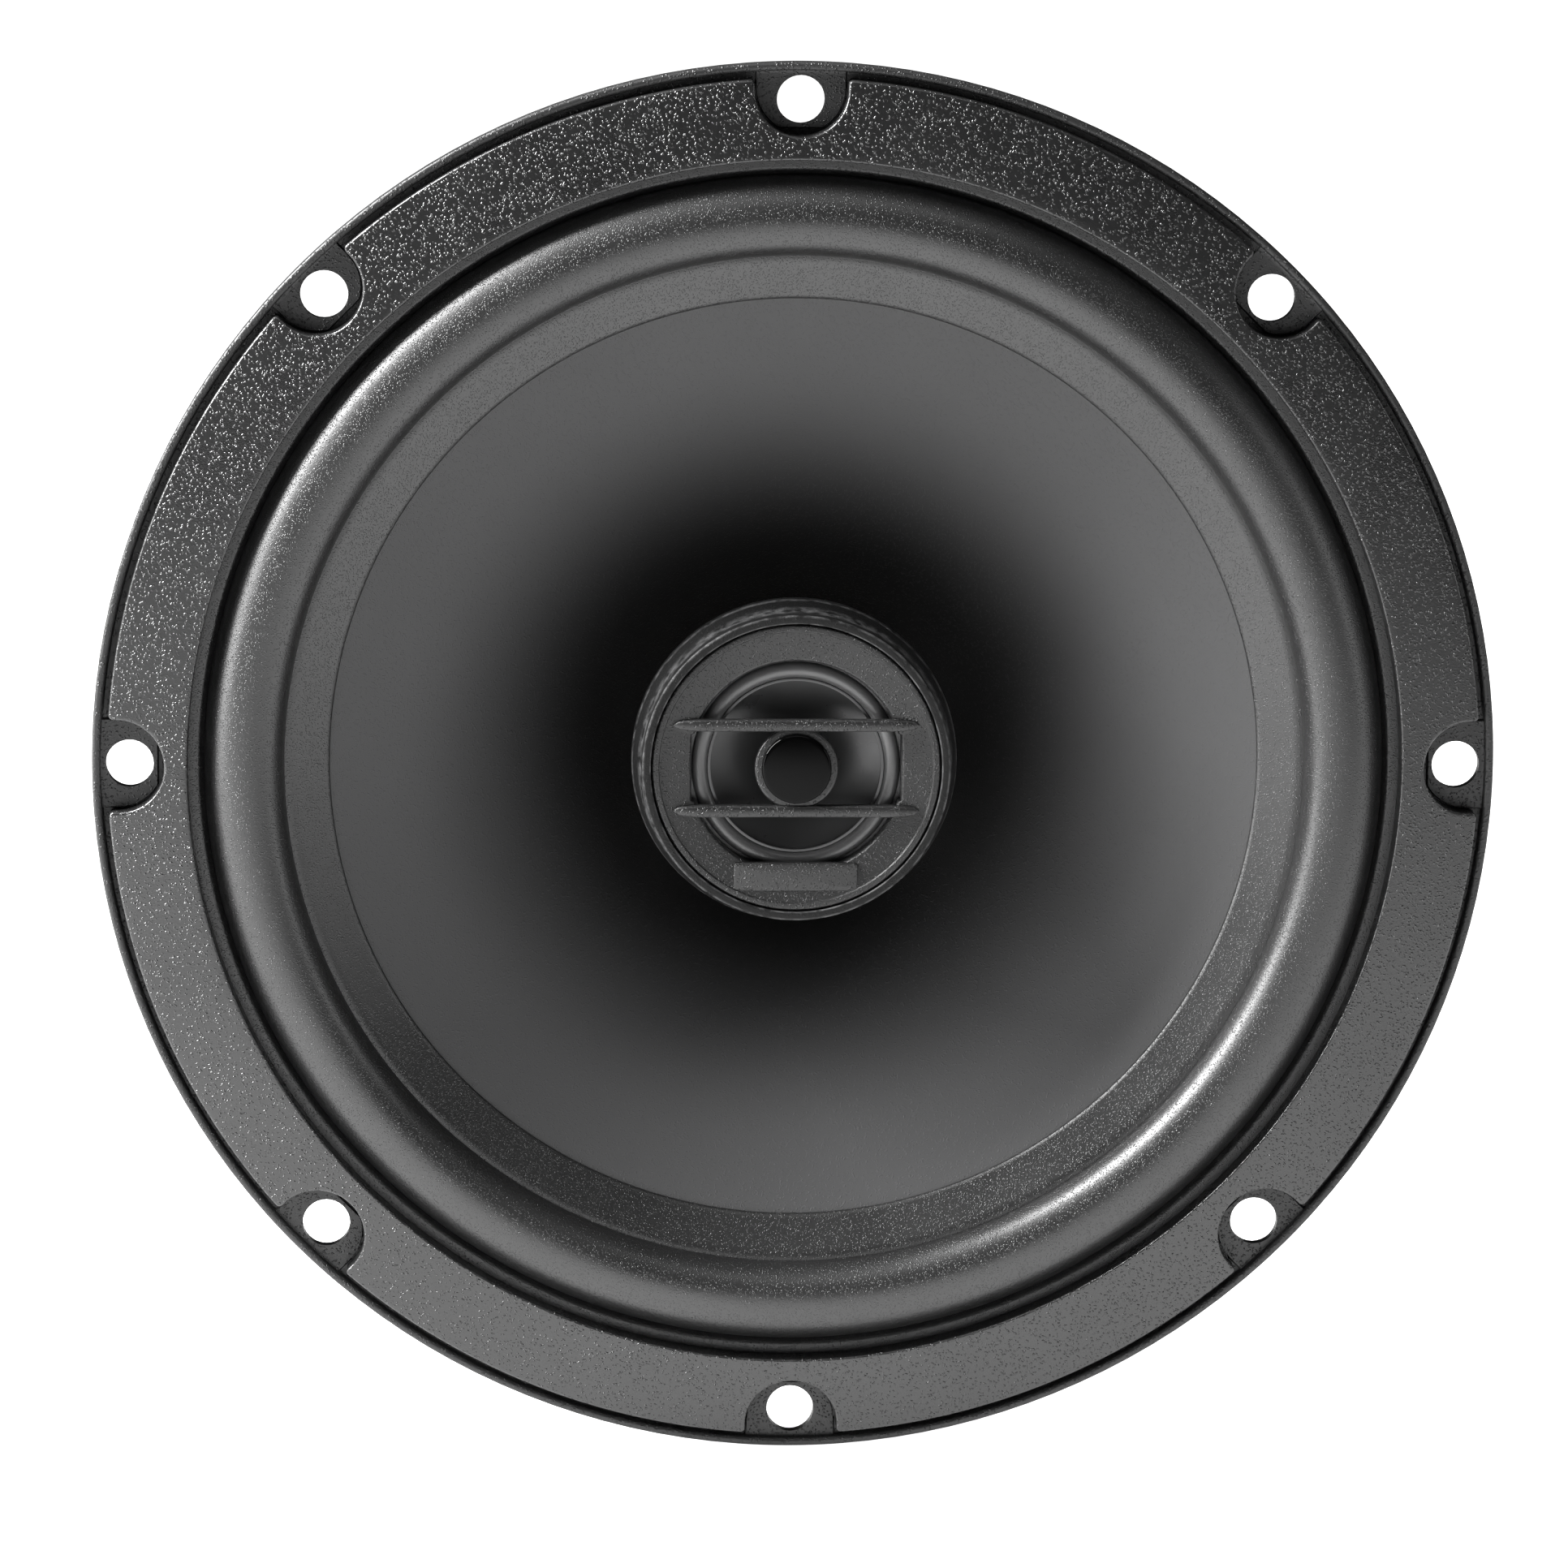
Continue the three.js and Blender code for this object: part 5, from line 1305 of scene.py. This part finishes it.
# %% Post and washer
post_collar_r, post_rear, post_front = extent("tweeter_post")
POST_R, SHANK_R, THREAD_R, POST_BORE, COLLAR = 5.5, 4.7, 3.9, 2.2, 3.0
THREAD_PITCH, THREAD_DEPTH = 0.7, 0.12
recess_f = plate_rear + RECESS_DEPTH
thread_f = np.linspace(post_rear + 0.3, recess_f + 0.3, 60)
thread_wave = np.sin(2 * np.pi * (thread_f - post_rear) / THREAD_PITCH)
thread = THREAD_R - THREAD_DEPTH + THREAD_DEPTH * thread_wave
head, _ = rounded(
    [
        [SHANK_R, pole_top], [post_collar_r, pole_top], [post_collar_r, pole_top + COLLAR],
        [POST_R, pole_top + COLLAR], [POST_R, post_front], [POST_BORE, post_front],
        [POST_BORE, post_rear],
    ], [0, 0.3, 0.6, 0.6, 0.2, 0.2, 0], closed=False,
)
thread_path = np.column_stack([thread, thread_f])
post_profile = np.vstack([
    head, [[THREAD_R - 0.2, post_rear]], thread_path, [[SHANK_R, recess_f + 0.6]]
])
post = turned("tweeter_stem", post_profile, columns=96)
dress(post, socket_plastic, "root", "tweeter_plastic", "tweeter_post")
washer = turned_corners("stem_washer", tube_corners("post_washer", THREAD_R + 0.1), 0.12, 96)
dress(washer, rivet_steel, "root", "zinc_steel", "post_washer")

# %% [markdown]
# A hexagon is a round bar whose radius varies as apothem / cos(angle from the nearest flat's
# middle). The nut's top corners are cut by a cone, so near the faces the radius is the smaller of
# the hexagon's and the cone's.

# %% Nut
_, nut_rear, nut_front = extent("post_nut")
APOTHEM, NUT_BORE, HEX_COLUMNS = 6.0, THREAD_R, 144
hex_angle = np.arange(HEX_COLUMNS) / HEX_COLUMNS * 2 * np.pi
from_flat = (hex_angle + math.pi / 6) % (math.pi / 3) - math.pi / 6
hex_r = APOTHEM / np.cos(from_flat)
nut_rows = [
    (NUT_BORE + 0.3, nut_rear), (APOTHEM - 0.15, nut_rear), (APOTHEM + 0.05, nut_rear + 0.1),
    (APOTHEM + 0.45, nut_rear + 0.35), (APOTHEM + 1.0, nut_rear + 0.65),
    (APOTHEM + 1.0, nut_front - 0.65), (APOTHEM + 0.45, nut_front - 0.35),
    (APOTHEM + 0.05, nut_front - 0.1), (APOTHEM - 0.15, nut_front), (NUT_BORE + 0.3, nut_front),
    (NUT_BORE, nut_front - 0.3), (NUT_BORE, nut_rear + 0.3),
]
cap, nut_f = (column[:, None] for column in np.array(nut_rows).T)
nut_r = np.minimum(cap, np.where(cap > APOTHEM, hex_r[None], cap))
nut_points = on_axis(nut_r, hex_angle[None], nut_f).reshape(-1, 3)
nut_faces = outward(nut_points, [grid_faces(len(nut_rows), HEX_COLUMNS, wrap_rows=True)])
nut = new_object("stem_nut", nut_points, nut_faces, sharp=25)
dress(nut, rivet_steel, "root", "zinc_steel", "post_nut")
print("nut height:", round(nut_front - nut_rear, 2))

# %% [markdown]
# ## Tweeter
# The tweeter is a small driver in a plastic housing. Its face plate carries a ring, two bars that
# guard the dish, a button seat between them and a raised plate below. The dish curves inwards, an
# inverted dome, so light gathers on its far side.

# %% Housing
skirt_r, housing_rear, housing_front = extent("tweeter_housing")
housing_r, RIM_WIDTH, HOUSING_FLOOR = 18.15, 1.05, -5.6
cavity_r = housing_r - RIM_WIDTH
floor_rear = HOUSING_FLOOR - 3.2
post_top = HOUSING_FLOOR - 1.6
housing_corners = [
    [housing_r, housing_front - 0.02], [housing_r, 2.0], [skirt_r - 0.1, -1.0], [skirt_r, -2.4],
    [housing_r - 0.8, HOUSING_FLOOR], [POST_R + 5.5, floor_rear + 0.4],
    [POST_R + 2.5, floor_rear - 0.8], [POST_R + 2.0, housing_rear], [POST_R, housing_rear],
    [POST_R, post_top], [POST_BORE, post_top], [POST_BORE, HOUSING_FLOOR],
    [cavity_r, HOUSING_FLOOR], [cavity_r, housing_front - 0.02],
]
housing_rounding = [0.32, 1.6, 0.5, 0.5, 1.0, 1.0, 0.4, 0.3, 0.2, 0.1, 0.1, 0.1, 0.1, 0.22]
housing = turned_corners("tweeter_cup", housing_corners, housing_rounding)
dress(housing, housing_plastic_and_painted_rim_highlight, "root", "tweeter_plastic", "tweeter_housing")
print("housing:", round(2 * housing_r, 1), "mm across")

# %% Face plate
face_r, face_rear, _ = extent("tweeter_faceplate")
FACE_F = housing_front
OPENING_R, RIM_LOW, RIM_TOP, RIM_IN = face_r - 4.35, 0.42, 0.22, 0.75
FLAT_X, FLAT_HALF = 12.3, 4.0


def opening_radius(angle):
    """The opening is round, but between the bars its sides are cut straight at x = FLAT_X."""
    x, z = np.abs(np.cos(angle)), np.abs(np.sin(angle))
    straight = FLAT_X / np.maximum(x, 1e-6)
    side = np.clip((FLAT_HALF - straight * z) / 0.12 + 0.5, 0, 1)
    return OPENING_R + (straight - OPENING_R) * side


FACE_COLUMNS = 720
face_angle = np.arange(FACE_COLUMNS) / FACE_COLUMNS * 2 * np.pi
hole_r = opening_radius(face_angle)
outer_corners = np.array([
    [face_r, face_rear], [face_r, FACE_F - RIM_LOW], [face_r - 0.18, FACE_F - RIM_TOP],
    [face_r - RIM_IN, FACE_F - RIM_TOP], [face_r - RIM_IN - 0.12, FACE_F - RIM_LOW],
])
inner_corners = np.array([
    [OPENING_R + 0.25, FACE_F - 0.62], [OPENING_R, FACE_F - 0.95], [OPENING_R, face_rear]
])
face_profile, face_edge = rounded(
    np.vstack([outer_corners, inner_corners]), [0.15, 0.06, 0.08, 0.05, 0.05, 0.15, 0.15, 0.1]
)
follow = np.clip((OPENING_R + 1.2 - face_profile[:, :1]) / 1.2, 0, 1)
face_radii = face_profile[:, :1] + (hole_r - OPENING_R)[None] * follow
ring_points = on_axis(face_radii, face_angle[None], face_profile[:, 1:]).reshape(-1, 3)
ring_faces = outward(ring_points, [grid_faces(*face_radii.shape, wrap_rows=True)])
ring = ring_points, ring_faces, np.repeat(face_edge, FACE_COLUMNS)
print("opening:", round(2 * OPENING_R, 1), "mm across")

# %% [markdown]
# A bar's section is a superellipse, a rectangle with very soft corners. Both ends taper over
# their last millimetres and close in a rounded nose.

# %% Bars, button seat and raised plate
BAR_Z, BAR_HALF, BAR_END, BAR_REAR, BAR_SIDES = 5.1, 0.72, 14.45, FACE_F - 1.2, 16
BAR_TAPER, NOSE, BAR_PROUD, BAR_SQUARE = 3.2, 0.6, 0.28, 0.45
BUTTON_SEAT_R, PLATE_HALF, PLATE_TOP, PLATE_LOW, PLATE_LEAN = 4.9, 7.3, -11.3, -14.7, 0.25


def bar(z):
    """Bar along X at height z. Round it the offsets are signed cosine and sine to BAR_SQUARE, and
    along it they shrink with the square root of the distance from the end."""
    end = np.linspace(BAR_END - 4, BAR_END, 14)
    x = np.concatenate([-end[::-1], np.linspace(-9, 9, 19), end])
    from_end = BAR_END - np.abs(x)
    taper, nose = np.clip(from_end / BAR_TAPER, 0, 1), np.clip(from_end / NOSE, 0, 1)
    blunt = np.sqrt(np.clip(from_end / NOSE + 0.02, 0, 1))
    half = BAR_HALF * (0.42 + 0.58 * np.sqrt(taper)) * blunt
    top = FACE_F + BAR_PROUD - 0.5 * (1 - taper) ** 2 - 0.05 * (1 - nose)
    around = np.arange(BAR_SIDES) / BAR_SIDES * 2 * math.pi
    square = lambda v: np.sign(v) * np.abs(v) ** BAR_SQUARE
    middle, thick = (top + BAR_REAR) / 2, (top - BAR_REAR) / 2
    zs = z + half[:, None] * square(np.cos(around))[None]
    fs = middle[:, None] + thick[:, None] * square(np.sin(around))[None]
    points = np.stack([np.broadcast_to(x[:, None], zs.shape), -fs, zs], -1).reshape(-1, 3)
    ends = np.array([[-BAR_END, -middle[0], z], [BAR_END, -middle[-1], z]])
    points = np.vstack([points, ends]) * MM
    corner = np.clip(1 - np.abs(np.cos(2 * around)), 0, 1) * (np.sin(around) > 0.1)
    weights = np.append(np.tile(corner, len(x)), [0, 0])
    return points, outward(points, capped_faces(len(x), BAR_SIDES)), weights


seat_top = FACE_F - 0.1
seat_profile, seat_edge = rounded(
    [[0, BAR_REAR], [BUTTON_SEAT_R, BAR_REAR], [BUTTON_SEAT_R, seat_top], [0, seat_top]],
    [0, 0.2, 0.35, 0], closed=False,
)
button_seat = turned_arrays(seat_profile, seat_edge, 96)
plate_outline = soft_rectangle(-PLATE_HALF, PLATE_HALF, PLATE_LOW, PLATE_TOP, 0.5, steps=5)
raised_plate = slab_arrays(plate_outline, FACE_F - 1.5, FACE_F - 0.16, 0.22)
plate_z = raised_plate[0][:, 2] / MM
raised_plate[0][:, 1] += PLATE_LEAN * (PLATE_TOP - plate_z) / (PLATE_TOP - PLATE_LOW) * MM
parts = join_arrays([ring, bar(BAR_Z), bar(-BAR_Z), button_seat, raised_plate])
face_plate = new_object("tweeter_face", *parts, sharp=40)
dress(face_plate, tweeter_plastic, "root", "tweeter_plastic", "tweeter_faceplate")
print("face plate faces:", len(face_plate.data.polygons))

# %% [markdown]
# The badge is a lacquered button with a low crown and a rounded rim. The dish is a paraboloid that
# curves inwards, depth x (1 - share^2), and a small rubber roll carries it, so that it can move
# by a few tenths of a millimetre.

# %% Badge, dish and small roll
badge_r, badge_rear, badge_front = extent("badge_disc")
BADGE_ROUND, BADGE_CROWN = 0.35, 0.14
rim_turn = np.linspace(0, math.pi / 2, 6)
crown_share = np.linspace(1, 0, 16)[1:]
badge_profile = np.vstack([
    [[0, badge_rear], [badge_r, badge_rear]],
    np.column_stack([
        badge_r - BADGE_ROUND * (1 - np.cos(rim_turn)),
        badge_front - BADGE_CROWN - BADGE_ROUND * (1 - np.sin(rim_turn)),
    ]),
    np.column_stack([(badge_r - BADGE_ROUND) * crown_share, badge_front - BADGE_CROWN * crown_share**2]),
])
badge = turned("lacquered_button", badge_profile, columns=128, sharp=50)
dress(badge, gloss_black, "root", "gloss_black", "badge_disc")

dish_r, _, dish_rim = extent("tweeter_dome")
DISH_DEPTH, FILM = 2.3, 0.25
dish_share = np.linspace(0, 1, 30)
dish_front = np.column_stack([dish_r * dish_share, dish_rim - DISH_DEPTH * (1 - dish_share**2)])
dish_back = dish_front - [0, FILM]
dish = turned("inverted_dish", np.vstack([dish_back, dish_front[::-1]]), columns=160, sharp=60)
dress(dish, dish_film, "tweeter", "dome_metal", "tweeter_dome")

small_land, small_rear, small_top = extent("tweeter_surround")
SMALL_OUT, SMALL_IN = OPENING_R - 0.3, dish_r + 0.4
beta = np.linspace(0, math.pi, 25)
small_middle, small_half = (SMALL_OUT + SMALL_IN) / 2, (SMALL_OUT - SMALL_IN) / 2
small_base = small_rear + FILM
small_front = np.column_stack([
    small_middle + small_half * np.cos(beta), small_base + (small_top - small_base) * np.sin(beta)
])
small_profile = np.vstack([
    [[small_land, small_base]], small_front, (small_front - [0, FILM])[::-1],
    [[small_land, small_rear]],
])
small_roll = turned("tweeter_roll", small_profile, columns=160, sharp=50)
bend_with(small_roll, "tweeter", inward(small_roll, SMALL_OUT, SMALL_IN))
dress(small_roll, tweeter_rubber, "tweeter", "tweeter_rubber", "tweeter_surround")
print("dish:", round(2 * dish_r, 1), "mm across,", DISH_DEPTH, "mm deep")

# %% [markdown]
# Inside the housing the tweeter has its own little motor: a steel cup round a nickel-plated
# neodymium disc with a pole plate on it. A plastic ring holds the cup and the dish's rim.

# %% Tweeter motor
cup_r, cup_rear, cup_front = extent("tweeter_yoke")
CUP_WALL_R, CUP_BASE = dish_r + 0.9, cup_rear + 1.2
cup_corners = [
    [POST_BORE, cup_rear], [cup_r, cup_rear], [cup_r, cup_front], [CUP_WALL_R, cup_front],
    [CUP_WALL_R, CUP_BASE], [POST_BORE, CUP_BASE],
]
cup = turned_corners("tweeter_steel_cup", cup_corners, 0.15, 128)
dress(cup, zinc, "root", "zinc_steel", "tweeter_yoke")
for node_name, label, material, slot in (
    ("tweeter_magnet", "neodymium_disc", nickel, "nickel_magnet"),
    ("tweeter_pole_plate", "tweeter_pole_disc", zinc, "zinc_steel"),
):
    disc_r, rear, front = extent(node_name)
    disc = turned_corners(label, [[0, rear], [disc_r, rear], [disc_r, front], [0, front]], 0.2, 96)
    dress(disc, material, "root", slot, node_name)
holder = turned_corners("tweeter_holder_ring", tube_corners("tweeter_mounting_ring", cup_r), 0.15, 128)
dress(holder, socket_plastic, "root", "tweeter_plastic", "tweeter_mounting_ring")
print("cup:", round(2 * cup_r, 1), "mm across")

# %% [markdown]
# ## Terminals and wiring
# Two blades are riveted to a board of pressed laminate. They have different widths, so that a plug
# can't go on the wrong way round. A blade is a strip bent to an L: its section is carried along a
# line with a rounded bend.

# %% Terminal board
low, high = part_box("terminal_board")
board_rear, board_front = -high.y / MM, -low.y / MM
board_outline = soft_rectangle(low.x / MM, high.x / MM, low.z / MM, high.z / MM, 2.0)
board = new_object("laminate_board", *slab_arrays(board_outline, board_rear, board_front, 0.15))
dress(board, laminate, "root", "board_laminate", "terminal_board")
print("board:", round(board_front - board_rear, 1), "mm thick")

# %% Blades and their rivets
BLADE_THICK = 0.8


def blade(node_name, label):
    """Strip bent to an L. Its middle line runs down the board, round the bend and out backwards,
    its width narrows towards the tip, and each section is a rectangle with rounded edges."""
    (x_mid, _), half, rear, front = seat_of(node_name)
    z_low, z_top = (corner.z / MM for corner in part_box(node_name))
    z_line, f_line = z_low + BLADE_THICK / 2, front - BLADE_THICK / 2
    bent = [[z_top, f_line], [z_line, f_line], [z_line, rear]]
    line, _ = rounded(bent, [0, 1.0, 0], closed=False, steps=8)
    line = np.vstack([line[:-1], line[-1] + [0, 1.2], line[-1] + [0, 0.5], line[-1]])
    step = np.gradient(line, axis=0)
    normal = np.column_stack([step[:, 1], -step[:, 0]]) / np.linalg.norm(step, axis=1, keepdims=True)
    tip = np.concatenate([np.ones(len(line) - 3), [1.0, 0.93, 0.8]])
    thin = np.concatenate([np.ones(len(line) - 3), [1.0, 0.8, 0.45]])
    corners = np.array([[-1, -1], [1, -1], [1, 1], [-1, 1]]) * [half, BLADE_THICK / 2]
    section, weight = rounded(corners, 0.16)
    x = x_mid + section[None, :, 0] * tip[:, None]
    away = section[None, :, 1] * thin[:, None]
    zf = line[:, None] + normal[:, None] * away[..., None]
    points = np.stack([x, -zf[..., 1], zf[..., 0]], -1)
    ends = points[[0, -1]].mean(1)
    flat = np.vstack([points.reshape(-1, 3), ends]) * MM
    faces = outward(flat, capped_faces(len(line), len(section)))
    return new_object(label, flat, faces, np.append(np.tile(weight, len(line)), [0, 0]))


for name in ("positive", "negative"):
    terminal = blade(f"terminal_{name}", f"{name}_blade")
    dress(terminal, tin, "root", "tinned_brass", f"terminal_{name}")
    for kind, shank_r in (("terminal", 1.2), ("board", 1.5)):
        centre, head, rear, front = seat_of(f"{kind}_rivet_{name}")
        corners = [
            [0, rear], [0.75, rear + 0.12], [1.0, rear], [head * 0.8, rear], [head, rear + 0.5],
            [head, rear + RIVET_HEAD], [shank_r, rear + RIVET_HEAD], [shank_r, front - RIVET_HEAD],
            [head, front - RIVET_HEAD], [head, front - 0.5], [head * 0.7, front], [0, front],
        ]
        rivet = turned_corners(f"{name}_{kind}_rivet_head", corners, 0.18, 40, centre)
        metal = tin if kind == "terminal" else rivet_steel
        dress(rivet, metal, "root", "tinned_brass", f"{kind}_rivet_{name}")
widths = [round(2 * seat_of(f"terminal_{name}")[1], 1) for name in ("positive", "negative")]
print("blades:", widths, "mm wide")

# %% [markdown]
# The capacitor keeps bass away from the tweeter. It is a rolled can in a shrunk sleeve: the sleeve
# curls over the can's ends, and a bead is rolled in near one end.

# %% Capacitor
low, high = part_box("capacitor")
can_r = (high.z - low.z) / 2 / MM
can_mid = ((low.y + high.y) / 2 / MM, (low.z + high.z) / 2 / MM)
left, right, CAN_HALF, LEAD_R = low.x / MM, high.x / MM, 6.5, 0.4
hem_in, hem_out, hem_face = can_r * 0.72, can_r * 0.76, CAN_HALF - 0.3
can_corners = [
    [0, left], [LEAD_R, left], [LEAD_R, -hem_face], [hem_in, -hem_face], [hem_out, -CAN_HALF],
    [can_r, -CAN_HALF], [can_r, -CAN_HALF + 1.8], [can_r * 0.9, -CAN_HALF + 2.4],
    [can_r, -CAN_HALF + 3.0], [can_r, CAN_HALF], [hem_out, CAN_HALF], [hem_in, hem_face],
    [LEAD_R, hem_face], [LEAD_R, right], [0, right],
]
can_points, can_faces, can_edge = turned_arrays(*rounded(can_corners, 0.35, closed=False), 72)
along_x = np.column_stack([-can_points[:, 1], can_points[:, 0], can_points[:, 2]])
along_x += np.array([0, *can_mid]) * MM
capacitor = new_object("crossover_capacitor", along_x, outward(along_x, can_faces), can_edge)
dress(capacitor, sleeve, "root", "capacitor_sleeve", "capacitor")
capacitor.data.materials.append(tin)
centres = np.zeros(len(capacitor.data.polygons) * 3)
capacitor.data.polygons.foreach_get("center", centres)
radii = np.hypot(centres[1::3] / MM - can_mid[0], centres[2::3] / MM - can_mid[1])
on_lead = (radii < LEAD_R * 1.1).astype(np.int32)  # 1 picks the second material, the tin
capacitor.data.polygons.foreach_set("material_index", on_lead)
print("capacitor:", round(2 * can_r, 1), "x", 2 * CAN_HALF, "mm")

# %% [markdown]
# Wires follow a smooth line through a few points: a Catmull-Rom curve, whose position between two
# points depends on the four nearest. Each section is a circle in the plane across the line, set
# square to one fixed direction.


# %% Wires
STRANDS = 6


def smooth_line(points, steps):
    """Centripetal Catmull-Rom curve through the points, steps samples between each two."""
    p = np.asarray(points, float)
    p = np.vstack([2 * p[0] - p[1], p, 2 * p[-1] - p[-2]])
    knots = np.concatenate([[0], np.cumsum(np.linalg.norm(np.diff(p, axis=0), axis=1) ** 0.5)])
    k0, k1, k2, k3 = (knots[i: len(knots) - 3 + i, None, None] for i in range(4))
    p0, p1, p2, p3 = (p[i: len(p) - 3 + i, None] for i in range(4))
    t = k1 + (k2 - k1) * np.linspace(0, 1, steps, endpoint=False)[None, :, None]
    mix = lambda a, b, ka, kb: ((kb - t) * a + (t - ka) * b) / (kb - ka)
    a1, a2, a3 = mix(p0, p1, k0, k1), mix(p1, p2, k1, k2), mix(p2, p3, k2, k3)
    b1, b2 = mix(a1, a2, k0, k2), mix(a2, a3, k1, k3)
    return np.vstack([mix(b1, b2, k1, k2).reshape(-1, 3), p[-2]])


def wire(label, points, radius, steps=14, sides=16):
    """Tube of that radius along the smooth line, with its own map: u across the strands, which
    repeats six times round the tube, and v along it."""
    line = smooth_line(points, steps) * [1, -1, 1]
    along = np.gradient(line, axis=0)
    along /= np.linalg.norm(along, axis=1, keepdims=True)
    side = np.cross(along, [0.31, 0.2, 0.93])
    side /= np.linalg.norm(side, axis=1, keepdims=True)
    up = np.cross(along, side)
    length = np.concatenate([[0], np.cumsum(np.linalg.norm(np.diff(line, axis=0), axis=1))])
    around = np.arange(sides) / sides * 2 * math.pi
    cosine, sine = np.cos(around)[None, :, None], np.sin(around)[None, :, None]
    circles = line[:, None] + radius * (side[:, None] * cosine + up[:, None] * sine)
    points = np.vstack([circles.reshape(-1, 3), line[[0, -1]]]) * MM
    faces = outward(points, capped_faces(len(line), sides))
    made = new_object(label, points, faces, sharp=60)
    loops = np.zeros(len(made.data.loops), np.int32)
    made.data.loops.foreach_get("vertex_index", loops)
    v = np.append(np.repeat(length, sides), [length[0], length[-1]])[loops] / (radius * 0.9)
    u = np.append(np.tile(around, len(line)), [0, 0])[loops]
    quads = np.arange(len(loops)) < (len(line) - 1) * sides * 4
    per_face = u[quads].reshape(-1, 4)
    seam = (per_face.max(1) - per_face.min(1)) > math.pi  # faces that cross from 2 pi back to 0
    early = per_face[seam]
    per_face[seam] = np.where(early < math.pi / 2, early + 2 * math.pi, early)
    u[quads] = per_face.ravel()
    uv = np.column_stack([u * STRANDS / (2 * math.pi), v])
    made.data.uv_layers.new(name="along").data.foreach_set("uv", uv.ravel())
    return made, length[-1]


TINSEL_R, WIRE_R = 0.7, 0.65
(terminal_x, terminal_z), *_ = seat_of("terminal_rivet_positive")
neck_r = coil_r + 4.5
neck_f = float(cone_forward(neck_r)) - CONE_WALL - TINSEL_R - 0.3
start_f = LEDGE_F - SHEET + RIVET_HEAD + 0.3
for sign, name in ((1, "positive"), (-1, "negative")):
    route = [
        [sign * terminal_x, start_f, terminal_z], [sign * terminal_x, start_f + 6.5, terminal_z],
        [sign * (terminal_x - 0.6), start_f + 10.5, terminal_z + 5],
        [sign * (terminal_x - 3.5), LEDGE_F + 9.5, -LEDGE_R * 0.72],
        [sign * 6, LEDGE_F + 6.5, -(neck_r + 6)], [sign * 4, neck_f, -neck_r],
    ]
    tinsel, length = wire(f"{name}_tinsel", route, TINSEL_R)
    z = points_of(tinsel)[2] / MM
    still_z, carried_z = terminal_z + 4, -neck_r - 3  # the lead bends between these heights
    bend_with(tinsel, "woofer", np.clip((z - still_z) / (carried_z - still_z), 0, 1))
    dress(tinsel, braid, "woofer", "tinsel_braid", f"tinsel_lead_{name}")
    print(name, "tinsel lead:", round(float(length), 1), "mm")

# %% Tweeter wires
TOUCH = 0.15  # air between a wire and what it lies against
top_plate_r, magnet_top, _ = extent("top_plate")
out_z = -(top_plate_r + WIRE_R + 0.3)
groove_f = plate_rear + GROOVE_DEPTH - WIRE_R - TOUCH
can_f, can_z = -can_mid[0], can_mid[1]
board_back = board_rear - BLADE_THICK
tab_edge = -terminal_x + 2.4
starts = {
    "feed": [
        [-CAN_HALF - 1 - WIRE_R - TOUCH, can_f, can_z], [-CAN_HALF - 0.8, can_f - 3.5, can_z + 1.5],
        [-3, magnet_top - 1.5, can_z + 7], [0.4, magnet_top - 3.8, can_z + 14],
    ],
    "return": [
        [tab_edge, board_back - WIRE_R - TOUCH, terminal_z + 1],
        [tab_edge + 2.2, board_back - 3, terminal_z + 4],
        [-4, magnet_top + 0.5, terminal_z + 9],
    ],
}
for name, side, material in (("feed", 1.0, red_wire), ("return", -1.0, black_wire)):
    route = starts[name] + [
        [side, magnet_top - 7, out_z], [side, plate_front + 1, out_z],
        [side, groove_f + 1.5, out_z + 0.2],
        [side, groove_f, out_z + 1.8], [side, groove_f, out_z + 5], [side, groove_f, out_z / 2],
        [side, groove_f, -3.2], [side, groove_f + 0.8, -0.9], [side, nut_rear + 2, 0],
        [side, pole_top, 0],
        [side, HOUSING_FLOOR - 0.5, 0],
    ]
    lead, length = wire(f"tweeter_{name}_lead", route, WIRE_R)
    slot = "red_wire" if name == "feed" else "black_wire"
    dress(lead, material, "root", slot, f"tweeter_wire_{name}")
    print(name, "lead:", round(float(length), 1), "mm")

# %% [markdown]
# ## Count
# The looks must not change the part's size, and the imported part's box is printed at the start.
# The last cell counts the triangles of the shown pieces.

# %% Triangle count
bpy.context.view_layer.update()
shown = [o for o in bpy.context.scene.objects if o.type == "MESH" and not o.hide_render]
print("triangles, about:", sum(len(o.data.polygons) * 2 for o in shown))
